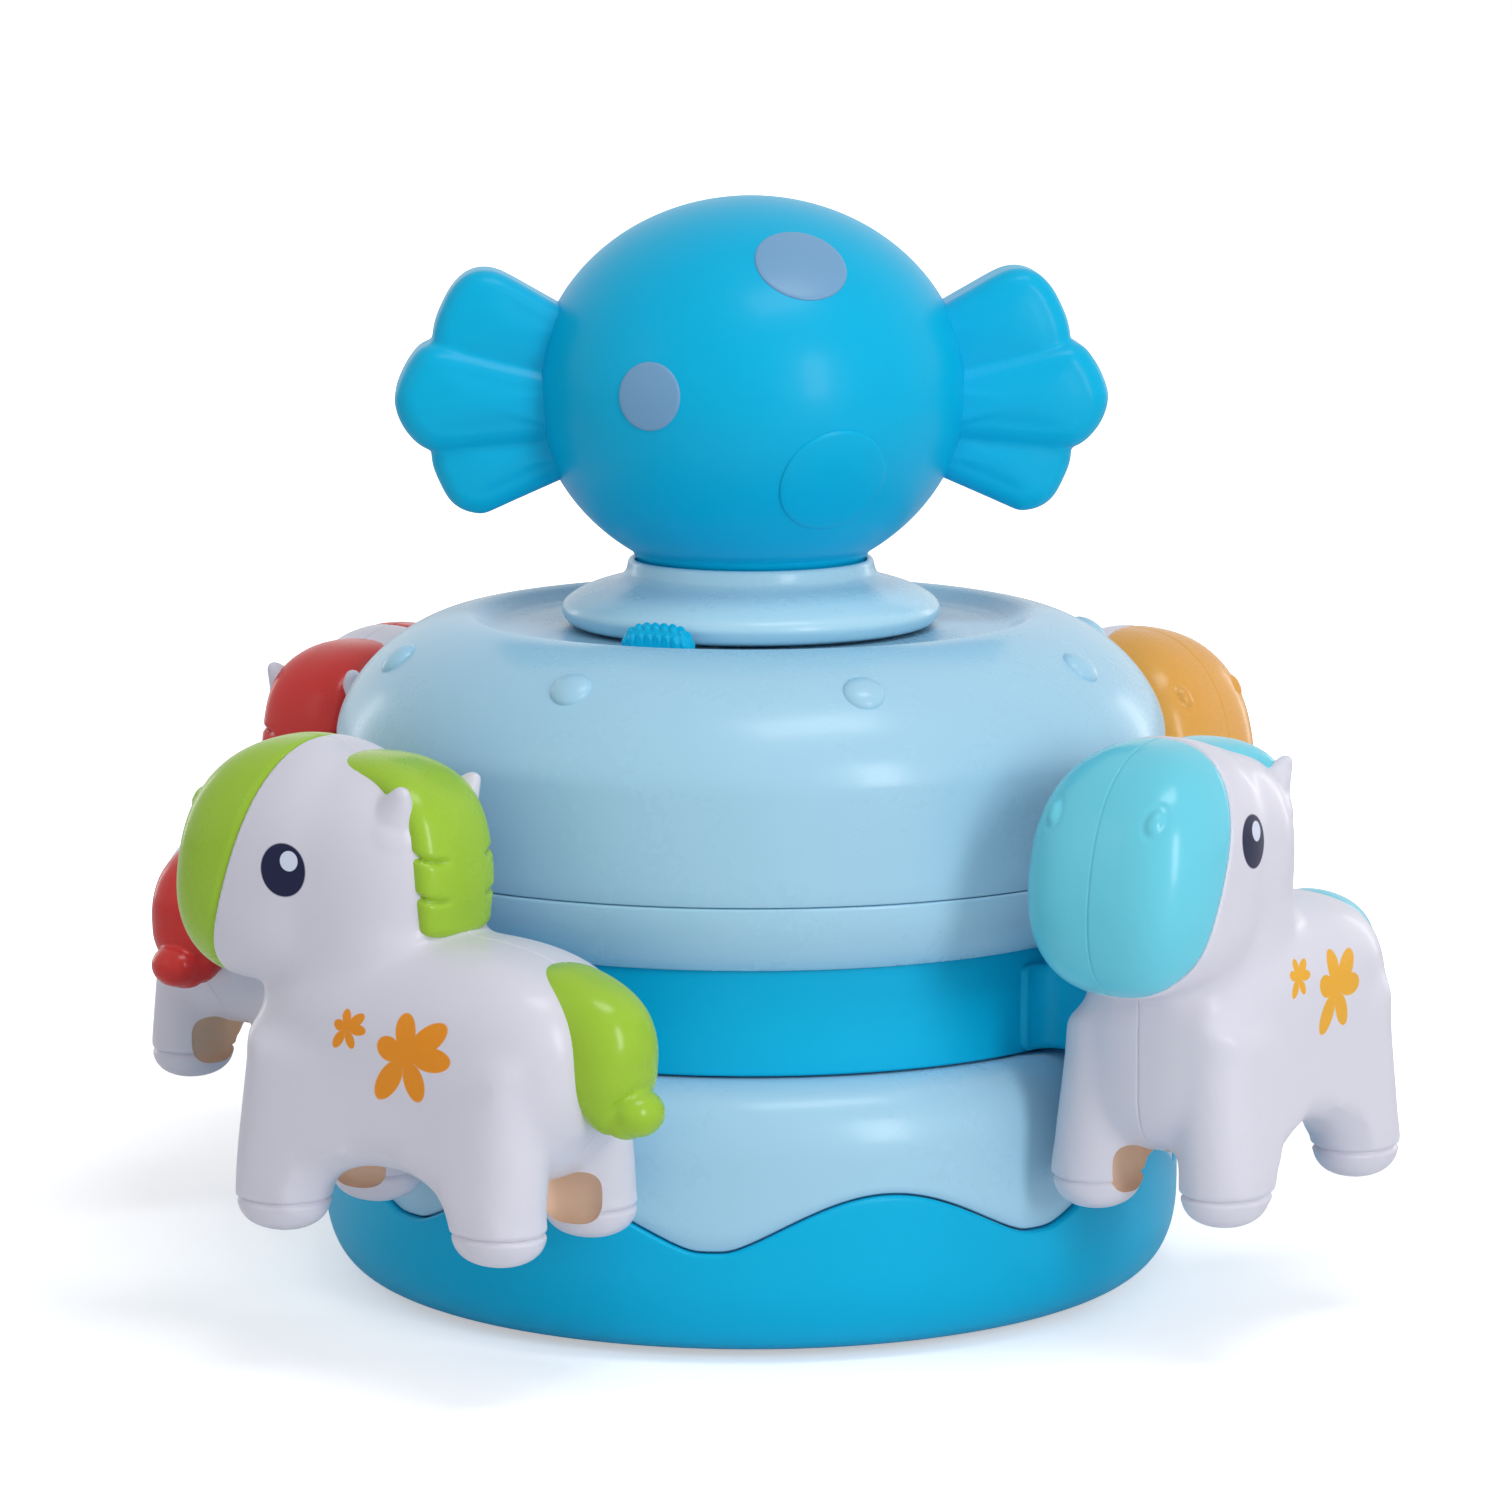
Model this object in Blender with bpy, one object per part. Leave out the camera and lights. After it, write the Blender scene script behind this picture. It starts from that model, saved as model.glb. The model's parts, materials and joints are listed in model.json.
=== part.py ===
# Toddler's spinning pony toy: a cake-shaped base, a turning drum with four ponies on its arms,
# a fixed domed roof on a hollow column, and a sweet-shaped knob that drives the drum through gears.
# Metres, +Z up. The origin is on the axis, at the level that the rubber feet stand on.
# The photographed side faces -Y.

import bpy
import bmesh
from math import asin, cos, pi, radians, sin, sqrt, tan
from mathutils import Matrix, Vector

for leftover in list(bpy.data.objects):
    bpy.data.objects.remove(leftover, do_unlink=True)

mm = 0.001

# Clearances
seat_gap = 0.3 * mm          # between pieces that seat on each other
shaft_gap = 0.15 * mm        # radial, between a shaft and its bore
sweep_gap = 0.3 * mm         # between the turning drum and what it sweeps past
moulded_wall = 2.2 * mm

# Base bowl and its plate
foot_stand = 1.0 * mm
foot_width = 3.0 * mm
foot_thickness = 2.1 * mm
foot_inset = 5.4 * mm        # from the plate's edge to the ring's outer side
base_radius = 73.0 * mm
base_wall = 2.4 * mm
base_fillet_width = 10.5 * mm
base_fillet_height = 14.8 * mm
base_fillet_power = 2.45
wave_trough_height = 16.8 * mm
wave_rise = 9.6 * mm
wave_count = 8
wave_crest_angle = radians(-72.6)
plate_thickness = 2.2 * mm
plate_recess = 0.6 * mm
plate_ledge_width = 5.0 * mm
base_screw_inset = 2.7 * mm

# Icing cover
icing_step = 0.8 * mm
icing_top = 44.1 * mm
icing_shoulder_width = 9.6 * mm
icing_shoulder_height = 12.0 * mm
icing_post_radius = 3.2 * mm

# Turning drum and its arms
drum_height = 17.6 * mm
drum_web_height = 8.0 * mm
hub_radius = 13.0 * mm
arm_width = 16.0 * mm
arm_fillet = 4.0 * mm
arm_height = 14.2 * mm
peg_radius = 4.2 * mm
peg_length = 8.0 * mm

# Roof
rim_lip_gap = 0.7 * mm
rim_overhang = 6.7 * mm
rim_curve = 12.6 * mm
seam_height = 72.9 * mm
roof_bulge = 0.6 * mm
roof_shoulder_height = 91.5 * mm
rim_web_width = 16.0 * mm
roof_ridge_height = 111.4 * mm
roof_dome_power = 1.69
dish_depth = 2.4 * mm
dish_slope = 5.2 * mm
dish_ring = 11.0 * mm         # level floor of the dish, from the collar to its slope
bump_radius = 3.3 * mm
bump_rise = 1.6 * mm
bump_inset = 6.4 * mm
bump_count = 8
bump_angle = radians(-73.5)
bump_lean = radians(42.0)

# Collar
collar_radius = 32.0 * mm
collar_floor = 3.9 * mm
collar_ring_height = 11.3 * mm
collar_ring_wall = 1.2 * mm

# Sweet-shaped knob
neck_radius = 19.2 * mm
neck_gap = 0.8 * mm
ball_radius = 36.4 * mm
ball_half_height = 32.5 * mm
ball_wall = 2.4 * mm
ball_rise = 28.4 * mm         # from the collar's top to the ball's centre
wing_reach = 23.8 * mm       # from the ball's side to the tip of the middle finger
wing_plug_radius = 5.0 * mm
knob_turn = radians(3.0)
disc_rise = 0.5 * mm
knob_flange_radius = 12.0 * mm
knob_screw_seat = 7.0 * mm
knob_screw_spots = ((-20.0 * mm, 8.0 * mm), (20.0 * mm, 8.0 * mm))

# Shaft, column and gears
shaft_radius = 3.0 * mm
column_radius = 8.0 * mm
column_wall = 3.0 * mm
shaft_boss_height = 6.0 * mm
clip_thickness = 0.8 * mm
gear_module = 1.0 * mm
gear_face = 5.0 * mm
pinion_teeth = 32
idler_low_teeth = 12
idler_high_teeth = 16
rotor_teeth = 28
frame_radius = 33.0 * mm
frame_thickness = 2.4 * mm
frame_post_radius = 3.5 * mm
frame_post_spots = ((-27.5 * mm, 11.0 * mm), (27.5 * mm, 11.0 * mm), (-18.5 * mm, -22.0 * mm),
                    (18.5 * mm, -22.0 * mm))
idler_pin_radius = 1.5 * mm
idler_sleeve_radius = 4.3 * mm
tooth_share = 0.375           # of the pitch that a tooth fills, so that meshed teeth have play
tooth_tip = 0.9               # how far the teeth stand past the pitch circle, in modules
stake_radius = 1.2 * mm       # moulded pins that are melted over to hold the next piece
hub_stake_circle = 11.3 * mm
collar_spigot_radius = 4.7 * mm
collar_spigot_length = 5.0 * mm
washer_thickness = 0.8 * mm
bush_length = 6.5 * mm

# Electric parts
cell_radius = 5.8 * mm
cell_height = 5.4 * mm
cell_count = 3
contact_thickness = 0.5 * mm
bay_wall = 1.5 * mm
bay_offset = 19.0 * mm        # from the axis to the battery bay
door_tab = 3.4 * mm
door_tab_radius = 3.2 * mm
speaker_radius = 12.0 * mm
speaker_x = 29.0 * mm
speaker_y = -6.0 * mm
speaker_height = 6.0 * mm
switch_length = 12.6 * mm
switch_depth = 4.8 * mm
switch_rise = 4.6 * mm
switch_angle = radians(-115.6)
switch_travel = 3.0 * mm
switch_stem = 3.0 * mm
switch_wall = 0.8 * mm
board_length = 34.0 * mm
board_width = 14.0 * mm
board_thickness = 1.6 * mm

# Ponies
pony_count = 4
pony_first_angle = radians(-34.7)
hoof_height = 22.8 * mm      # from the base's underside up to the hooves
pony_half_width = 16.6 * mm
pony_clearance = 2.5 * mm    # radial, from the base to a pony's inner flank
pony_shell = 2.6 * mm
body_middle = -5.9 * mm      # forward of the peg, as are all the places along a pony
body_length = 63.6 * mm
body_height = 35.6 * mm
body_rise = 30.6 * mm
neck_middle = 7.6 * mm
neck_rise = 42.5 * mm
neck_size = (33.0 * mm, 29.6 * mm, 37.4 * mm)
head_middle = 14.4 * mm
head_rise = 56.7 * mm
head_size = (47.6 * mm, 31.0 * mm, 38.4 * mm)
muzzle_middle = 22.6 * mm
muzzle_rise = 57.6 * mm
muzzle_size = (34.4 * mm, 33.0 * mm, 40.8 * mm)
muzzle_lean = -0.17
muzzle_tenon_radius = 4.0 * mm
muzzle_tenon_length = 5.0 * mm
muzzle_seam = 42.7 * mm      # from between the front hooves to the muzzle's seam, square to the seam
seam_lean = radians(20.0)
leg_radius = 7.9 * mm
leg_top = 37.0 * mm
leg_draw = 2.8 * mm          # how far a leg's top leans in to the pony's middle, each way
leg_side = 12.0 * mm
front_leg = 17.9 * mm
rear_leg = -25.0 * mm
hoof_radius = 7.7 * mm
hoof_depth = 6.0 * mm
pocket_size = (9.6 * mm, 6.8 * mm, 9.4 * mm)
pocket_rise = 8.2 * mm
ear_side = 8.7 * mm
ear_foot = 62.5 * mm
ear_tip = 70.6 * mm
ear_radius = 5.4 * mm
ear_tip_radius = 1.9 * mm
mane_half_width = 8.6 * mm
mane_half_thickness = 3.5 * mm
tail_half_width = 7.6 * mm
tail_half_thickness = 8.0 * mm
pony_detail = 0.9 * mm
pony_soften = 34
pony_keep = 0.0078

# Screws
screw_radius = 1.0 * mm
screw_head_radius = 2.0 * mm
screw_head_height = 1.2 * mm
base_screw_length = 12.0 * mm
base_screw_count = 3
base_screw_angle = radians(-90)
knob_screw_length = 12.0 * mm

round_steps = 24
inner_steps = 24
fine_steps = 5 * wave_count
knob_steps = 10


# Colours are written as they look, and turned to the linear values that a shader takes
def linear(values):
    return [v / 12.92 if v <= 0.04045 else ((v + 0.055) / 1.055) ** 2.4 for v in values]


finishes = {
    "deep_blue": ((0.00, 0.66, 0.85), 0.30, 0.0),
    "pale_blue": ((0.64, 0.80, 0.89), 0.32, 0.0),
    "pony_white": ((0.82, 0.82, 0.88), 0.38, 0.0),
    "green": ((0.66, 0.78, 0.30), 0.35, 0.0),
    "sky": ((0.42, 0.80, 0.88), 0.35, 0.0),
    "orange": ((0.90, 0.60, 0.25), 0.35, 0.0),
    "red": ((0.78, 0.20, 0.20), 0.35, 0.0),
    "white_nylon": ((0.90, 0.90, 0.88), 0.45, 0.0),
    "steel": ((0.72, 0.72, 0.74), 0.25, 1.0),
    "brass": ((0.80, 0.68, 0.38), 0.30, 1.0),
    "rubber": ((0.20, 0.20, 0.21), 0.80, 0.0),
    "board_green": ((0.10, 0.40, 0.22), 0.50, 0.0),
    "black": ((0.08, 0.08, 0.09), 0.50, 0.0),
}
materials = {}


def material(finish):
    if finish not in materials:
        colour, roughness, metallic = finishes[finish]
        made = bpy.data.materials.new(finish)
        made.use_nodes = True
        shader = made.node_tree.nodes["Principled BSDF"]
        shader.inputs["Base Color"].default_value = (*linear(colour), 1.0)
        shader.inputs["Roughness"].default_value = roughness
        shader.inputs["Metallic"].default_value = metallic
        materials[finish] = made
    return materials[finish]


def place(name, mesh, finish):
    """Links a mesh as a named piece, shaded smooth with sharp edges kept."""
    mesh.shade_smooth()
    mesh.set_sharp_from_angle(angle=radians(32))
    mesh.materials.clear()
    mesh.materials.append(material(finish))
    made = bpy.data.objects.new(name, mesh)
    bpy.context.scene.collection.objects.link(made)
    return made


def to_mesh(bm, name):
    bmesh.ops.recalc_face_normals(bm, faces=bm.faces)
    mesh = bpy.data.meshes.new(name)
    bm.to_mesh(mesh)
    bm.free()
    return mesh


def piece(name, bm, finish):
    return place(name, to_mesh(bm, name), finish)


def tool(bm, name):
    """A cutter or a filler for a Boolean: it isn't a piece of the toy."""
    made = bpy.data.objects.new(name, to_mesh(bm, name))
    bpy.context.scene.collection.objects.link(made)
    made.hide_render = True
    made.display_type = "WIRE"
    return made


def combine(target, bm, operation, name):
    """Adds (UNION), takes away (DIFFERENCE) or keeps what is inside (INTERSECT) a shape."""
    step = target.modifiers.new(name, "BOOLEAN")
    step.object = tool(bm, f"{target.name}_{name}")
    step.operation = operation
    step.solver = "EXACT"


def baked(source, name):
    """The mesh that an object's modifiers make of it."""
    bpy.context.view_layer.update()
    depsgraph = bpy.context.evaluated_depsgraph_get()
    mesh = bpy.data.meshes.new_from_object(source.evaluated_get(depsgraph))
    mesh.name = name
    return mesh


def turn(bm, profile, steps, start=0.0, sweep=2 * pi, matrix=Matrix.Identity(4)):
    """Turns a closed outline of (radius, height) about Z; a height may be a function of the angle."""
    full = abs(sweep - 2 * pi) < 1e-9
    count = steps if full else steps + 1
    rings = []
    for radius, height in profile:
        ring = []
        for k in range(count):
            angle = start + sweep * k / steps
            level = height(angle) if callable(height) else height
            if radius < 1e-7 and ring:
                ring.append(ring[0])
            else:
                point = Vector((radius * cos(angle), radius * sin(angle), level))
                ring.append(bm.verts.new(matrix @ point))
        rings.append(ring)
    for i, ring in enumerate(rings):
        following = rings[(i + 1) % len(rings)]
        for k in range(steps):
            n = (k + 1) % count
            corners = list(dict.fromkeys((ring[k], ring[n], following[n], following[k])))
            if len(corners) > 2:
                bm.faces.new(corners)
    if not full:
        bm.faces.new(list(dict.fromkeys(ring[0] for ring in rings)))
        bm.faces.new(list(dict.fromkeys(ring[-1] for ring in reversed(rings))))


def turned(profile, steps=round_steps, start=0.0, sweep=2 * pi):
    bm = bmesh.new()
    turn(bm, profile, steps, start, sweep)
    return bm


def rod(bm, x, y, low, high, radius, steps=12):
    bmesh.ops.create_cone(bm, cap_ends=True, segments=steps, radius1=radius, radius2=radius,
                          depth=high - low, matrix=Matrix.Translation((x, y, (low + high) / 2)))


def cross_rod(bm, centre, direction, length, radius, steps=12):
    """A cylinder along any direction, about its centre."""
    spin = Vector((0, 0, 1)).rotation_difference(Vector(direction)).to_matrix().to_4x4()
    bmesh.ops.create_cone(bm, cap_ends=True, segments=steps, radius1=radius, radius2=radius,
                          depth=length, matrix=Matrix.Translation(centre) @ spin)


def block(bm, low, high, matrix=Matrix.Identity(4)):
    size = [h - l for l, h in zip(low, high)]
    middle = [(h + l) / 2 for l, h in zip(low, high)]
    bmesh.ops.create_cube(bm, size=1.0, matrix=matrix @ Matrix.Translation(middle)
                          @ Matrix.Diagonal((*size, 1.0)))


def around(count, radius, start=0.0):
    return [(radius * cos(start + 2 * pi * k / count), radius * sin(start + 2 * pi * k / count))
            for k in range(count)]


def screw(name, length, matrix):
    """A screw whose head's top is at the matrix's origin; it points along the matrix's -Z."""
    bm = bmesh.new()
    under = -screw_head_height
    turn(bm, [(0, 0), (screw_head_radius, 0), (screw_head_radius, under), (screw_radius, under),
              (screw_radius, -length), (0, -length)], 6, matrix=matrix)
    return piece(name, bm, "steel")


def screw_hole(bm, length, matrix, head_room):
    """The hole for that screw, open above its head for head_room."""
    head = screw_head_radius + shaft_gap
    shank = screw_radius + shaft_gap
    under = -screw_head_height - shaft_gap
    end = -length - shaft_gap
    outline = [(0, head_room), (head, head_room), (head, under), (shank, under), (shank, end), (0, end)]
    turn(bm, outline, 6, matrix=matrix)


def at(x, y, z, upside_down=False):
    flip = Matrix.Rotation(pi, 4, "X") if upside_down else Matrix.Identity(4)
    return Matrix.Translation((x, y, z)) @ flip


def arc_power(wide, high, power, count):
    """Quarter of a superellipse, from (wide, 0) up to (0, high)."""
    ends = [pi / 2 * k / count for k in range(count + 1)]
    return [(wide * max(cos(t), 0.0) ** (2 / power), high * max(sin(t), 0.0) ** (2 / power)) for t in ends]


# Heights above the ground, worked out from the sizes
ground = foot_stand
plate_low = ground + plate_recess
plate_top = plate_low + plate_thickness
ledge_low = plate_top + seat_gap
ledge_top = ledge_low + 2.0 * mm
boss_top = plate_top + shaft_boss_height
pinion_low = boss_top + clip_thickness + 2 * seat_gap
pinion_top = pinion_low + gear_face
frame_low = pinion_top + screw_head_height + 0.8 * mm
frame_top = frame_low + frame_thickness
flange_top = frame_top + seat_gap + 2.0 * mm
washer_low = flange_top + seat_gap
rotor_low = washer_low + washer_thickness + seat_gap
rotor_top = rotor_low + gear_face
hub_low = rotor_top + seat_gap
icing_high = ground + icing_top
drum_low = icing_high + sweep_gap
drum_top = drum_low + drum_height
seam = ground + seam_height
shoulder = ground + roof_shoulder_height
ridge = ground + roof_ridge_height
dish_floor = ridge - dish_depth
roof_under = dish_floor - moulded_wall
column_top = roof_under - seat_gap
collar_low = dish_floor + seat_gap
collar_well = collar_low + collar_floor
collar_top = collar_low + collar_ring_height
neck_low = collar_well + neck_gap
ball_centre = collar_top + ball_rise
hooves = ground + hoof_height

# Radii, worked out from the sizes
base_inside = base_radius - base_wall
base_flat = base_radius - base_fillet_width
plate_edge = base_flat - 5.5 * mm
ledge_inside = plate_edge - plate_ledge_width
icing_radius = base_radius - icing_step
drum_radius = icing_radius - icing_shoulder_width + 0.3 * mm
drum_inside = drum_radius - moulded_wall
lip_radius = drum_radius + rim_lip_gap
rim_radius = drum_radius + rim_overhang
roof_radius = rim_radius + roof_bulge
ridge_radius = collar_radius + dish_ring + dish_slope
roof_dome_width = roof_radius - ridge_radius
column_bore = column_radius - column_wall
hub_bore = column_radius + 1.6 * mm
pony_orbit = base_radius + pony_clearance + pony_half_width
gear_spacing = gear_module * (pinion_teeth + idler_low_teeth) / 2
base_screw_circle = plate_edge - base_screw_inset
foot_inside = plate_edge - foot_inset - foot_width
switch_circle = collar_radius + switch_depth / 2 + 0.7 * mm

# Places inside
foot_sink = foot_thickness - foot_stand - plate_recess + 0.1 * mm
cell_pitch = cell_height + seat_gap
cell_row = cell_count * cell_pitch - seat_gap
bay_half_x = cell_row / 2 + contact_thickness + 2 * seat_gap
bay_low_y = bay_offset
bay_high_y = bay_low_y + 2 * cell_radius + 2 * seat_gap
door_low = plate_low
door_top = plate_low + 1.2 * mm
bay_top = door_top + 2 * seat_gap + 2 * cell_radius
idler_y = -gear_spacing
arm_middle = drum_low + 0.5 * mm + arm_height / 2
rim_web_low = drum_top + 6.0 * mm
rim_web_inside = rim_radius - rim_web_width
board_post_x = board_length / 2 - 3.0 * mm
switch_slot = switch_stem / 2 + switch_travel + seat_gap
spigot_low = collar_low - collar_spigot_length - moulded_wall
board_top = roof_under - 4.6 * mm
groove_low = neck_low + 1.4 * mm
groove_high = groove_low + 2.6 * mm
neck_web_top = groove_high + 1.4 * mm
peg_depth = peg_length + 1.5 * mm


def wave(angle):
    """Height of the base's upper edge round the bowl: broad crests and narrow troughs."""
    swing = 0.5 + 0.5 * cos(wave_count * (angle - wave_crest_angle))
    return ground + wave_trough_height + wave_rise * swing ** 0.7


def base_screw_places():
    return around(base_screw_count, base_screw_circle, base_screw_angle)


def base_screw_spots():
    """Three screws from below hold the plate, the bowl and the icing together."""
    return [at(x, y, plate_low + 0.2 * mm, True) for x, y in base_screw_places()]


def base_bowl():
    fillet = arc_power(base_fillet_width, base_fillet_height, base_fillet_power, 3)
    outside = [(base_flat + a, ground + base_fillet_height - b) for a, b in reversed(fillet)]
    profile = [(plate_edge + seat_gap, ground)] + outside
    profile += [(base_radius, wave), (base_inside, wave), (base_inside, ground + base_fillet_height),
                (base_flat + 3.0 * mm, ledge_top), (ledge_inside, ledge_top),
                (ledge_inside, ledge_low), (plate_edge + seat_gap, ledge_low)]
    made = piece("base_bowl", turned(profile, fine_steps, wave_crest_angle), "deep_blue")
    holes = bmesh.new()
    for x, y in base_screw_places():
        rod(holes, x, y, ledge_low - mm, ledge_top + mm, screw_radius + shaft_gap, 6)
    combine(made, holes, "DIFFERENCE", "screw_holes")


def icing_cover():
    skirt = base_inside - seat_gap
    start = icing_high - icing_shoulder_height
    flat = icing_radius - icing_shoulder_width
    shoulder_arc = arc_power(icing_shoulder_width, icing_shoulder_height, 2.0, 3)
    deck_hole = hub_radius + 3.0 * mm
    skirt_low = ground + base_fillet_height + seat_gap
    profile = [(skirt - moulded_wall, skirt_low), (skirt, skirt_low), (skirt, lambda t: wave(t) + seat_gap),
               (icing_radius, lambda t: wave(t) + seat_gap)]
    profile += [(flat + a, start + b) for a, b in shoulder_arc]
    profile += [(deck_hole, icing_high), (deck_hole, icing_high - moulded_wall),
                (flat, icing_high - moulded_wall), (skirt - moulded_wall, start)]
    made = piece("icing_cover", turned(profile, fine_steps, wave_crest_angle), "pale_blue")
    posts = bmesh.new()
    for x, y in base_screw_places():
        rod(posts, x, y, ledge_top + seat_gap, icing_high - 1.0 * mm, icing_post_radius, 8)
    combine(made, posts, "UNION", "posts")
    holes = bmesh.new()
    for x, y in base_screw_places():
        rod(holes, x, y, ledge_top - mm, plate_low + base_screw_length + mm, screw_radius + shaft_gap, 6)
    combine(made, holes, "DIFFERENCE", "screw_holes")


def base_plate():
    groove_in = foot_inside - shaft_gap
    groove_out = foot_inside + foot_width + shaft_gap
    profile = [(0, plate_low), (groove_in, plate_low), (groove_in, plate_low + foot_sink),
               (groove_out, plate_low + foot_sink), (groove_out, plate_low), (plate_edge, plate_low),
               (plate_edge, plate_top), (0, plate_top)]
    made = piece("base_plate", turned(profile), "deep_blue")
    root = plate_low + 0.8 * mm
    raised = bmesh.new()
    rod(raised, 0, 0, root, boss_top, 2 * shaft_radius, 12)
    rod(raised, 0, idler_y, root, boss_top, 4.0 * mm, 8)
    seat = frame_low - seat_gap
    stake = frame_top + 0.6 * mm
    for x, y in frame_post_spots:
        post = [(0, root), (frame_post_radius, root), (frame_post_radius, seat), (stake_radius, seat),
                (stake_radius, stake), (0, stake)]
        turn(raised, post, 8, matrix=at(x, y, 0))
    block(raised, (-bay_half_x - bay_wall, bay_low_y - bay_wall, root),
          (bay_half_x + bay_wall, bay_high_y + bay_wall, bay_top + bay_wall))
    combine(made, raised, "UNION", "bosses")
    holes = bmesh.new()
    rod(holes, 0, 0, plate_top + seat_gap, boss_top + 2.0 * mm, shaft_radius + shaft_gap, 16)
    rod(holes, 0, idler_y, plate_top + seat_gap, boss_top + 2.0 * mm, idler_pin_radius + shaft_gap, 8)
    for spot in base_screw_spots():
        screw_hole(holes, base_screw_length, spot, 2.0 * mm)
    block(holes, (-bay_half_x, bay_low_y, plate_low - 2.0 * mm), (bay_half_x, bay_high_y, bay_top))
    for x, y in around(5, 0.55 * speaker_radius):
        rod(holes, speaker_x + x, speaker_y + y, plate_low - 2.0 * mm, plate_top + 2.0 * mm, 1.6 * mm, 6)
    combine(made, holes, "DIFFERENCE", "holes")
    step = bmesh.new()
    prism(step, door_outline(0.0), plate_low - 2.0 * mm, door_top + seat_gap)
    combine(made, step, "DIFFERENCE", "door_step")
    door_hole = bmesh.new()
    rod(door_hole, 0, bay_high_y + door_tab, door_top - mm, plate_top - 0.2 * mm, screw_radius + shaft_gap, 6)
    combine(made, door_hole, "DIFFERENCE", "door_screw_hole")


def door_outline(inset):
    """The battery door's shape from below, with its rounded screw tab on the far side."""
    wide = bay_half_x - inset
    tab = door_tab_radius - inset
    outline = [(-wide, bay_low_y + inset), (wide, bay_low_y + inset), (wide, bay_high_y - inset)]
    for k in range(5):
        t = pi * k / 4
        outline.append((tab * cos(t), bay_high_y + door_tab + tab * sin(t)))
    outline.insert(3, (tab, bay_high_y - inset))
    outline += [(-tab, bay_high_y - inset), (-wide, bay_high_y - inset)]
    return outline


def battery_door():
    made = bmesh.new()
    prism(made, door_outline(seat_gap), door_low, door_top)
    door = piece("battery_door", made, "deep_blue")
    hole = bmesh.new()
    rod(hole, 0, bay_high_y + door_tab, door_low - 2.0 * mm, door_top + 2.0 * mm,
        screw_radius + shaft_gap, 6)
    combine(door, hole, "DIFFERENCE", "hole")


def button_cells():
    """Cells stand on edge in a row along X, between a contact at either end."""
    middle_y = (bay_low_y + bay_high_y) / 2
    middle_z = door_top + seat_gap + cell_radius
    cap = cell_radius - 1.0 * mm
    outline = [(0, 0), (cap, 0), (cap, 0.9 * mm), (cell_radius, 0.9 * mm), (cell_radius, cell_height),
               (0, cell_height)]
    for k in range(cell_count):
        cell = bmesh.new()
        start = k * cell_pitch - cell_row / 2
        lay = Matrix.Translation((start, middle_y, middle_z)) @ Matrix.Rotation(pi / 2, 4, "Y")
        turn(cell, outline, 12, matrix=lay)
        piece(f"button_cell_{k + 1}", cell, "steel")
    for name, way in (("battery_minus_contact", -1), ("battery_plus_contact", 1)):
        near = way * (cell_row / 2 + seat_gap)
        far = near + way * contact_thickness
        contact = bmesh.new()
        block(contact, (min(near, far), middle_y - 0.6 * cell_radius, middle_z - 0.6 * cell_radius),
              (max(near, far), middle_y + 0.6 * cell_radius, middle_z + 0.6 * cell_radius))
        piece(name, contact, "brass")


def speaker():
    low = plate_top + seat_gap
    cone = speaker_radius - 1.5 * mm
    profile = [(0, low + 1.6 * mm), (3.0 * mm, low + 1.2 * mm), (cone, low), (speaker_radius, low),
               (speaker_radius, low + 1.6 * mm), (0.62 * speaker_radius, low + 3.2 * mm),
               (0.62 * speaker_radius, low + speaker_height), (0, low + speaker_height)]
    bm = bmesh.new()
    turn(bm, profile, 12, matrix=at(speaker_x, speaker_y, 0))
    piece("speaker", bm, "black")


def foot_and_screws():
    top = plate_low + foot_sink - 0.1 * mm
    foot_outside = foot_inside + foot_width
    ring = [(foot_inside, 0), (foot_outside, 0), (foot_outside, top), (foot_inside, top)]
    piece("foot_ring", turned(ring), "rubber")
    for k, spot in enumerate(base_screw_spots()):
        screw(f"base_screw_{k + 1}", base_screw_length, spot)
    single = bmesh.new()
    low = door_low - 0.4 * mm
    seat = door_low - 0.1 * mm
    high = plate_top - 0.4 * mm
    outline = [(0, low), (1.9 * mm, low), (1.9 * mm, seat), (screw_radius, seat), (screw_radius, high),
               (0, high)]
    turn(single, outline, 6, matrix=at(0, bay_high_y + door_tab, 0))
    piece("battery_door_screw", single, "steel")


def gear_outline(teeth, phase):
    """Straight-flanked teeth at a 20 degree pressure angle, thinned for backlash."""
    pitch = gear_module * teeth / 2
    tip = pitch + tooth_tip * gear_module
    root = pitch - 1.2 * gear_module
    half = tooth_share * pi * gear_module / 2
    tip_half = (half - tooth_tip * gear_module * tan(radians(20))) / tip
    root_half = min((half + 1.2 * gear_module * 0.45) / root, 0.92 * pi / teeth)
    points = []
    for k in range(teeth):
        middle = phase + 2 * pi * k / teeth
        for radius, turn_by in ((root, -root_half), (tip, -tip_half), (tip, tip_half), (root, root_half)):
            points.append((radius * cos(middle + turn_by), radius * sin(middle + turn_by)))
    return points


def prism(bm, outline, low, high, x=0.0, y=0.0):
    bottom = [bm.verts.new((x + px, y + py, low)) for px, py in outline]
    top = [bm.verts.new((x + px, y + py, high)) for px, py in outline]
    bm.faces.new(list(reversed(bottom)))
    bm.faces.new(top)
    for k in range(len(outline)):
        n = (k + 1) % len(outline)
        bm.faces.new((bottom[k], bottom[n], top[n], top[k]))


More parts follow.
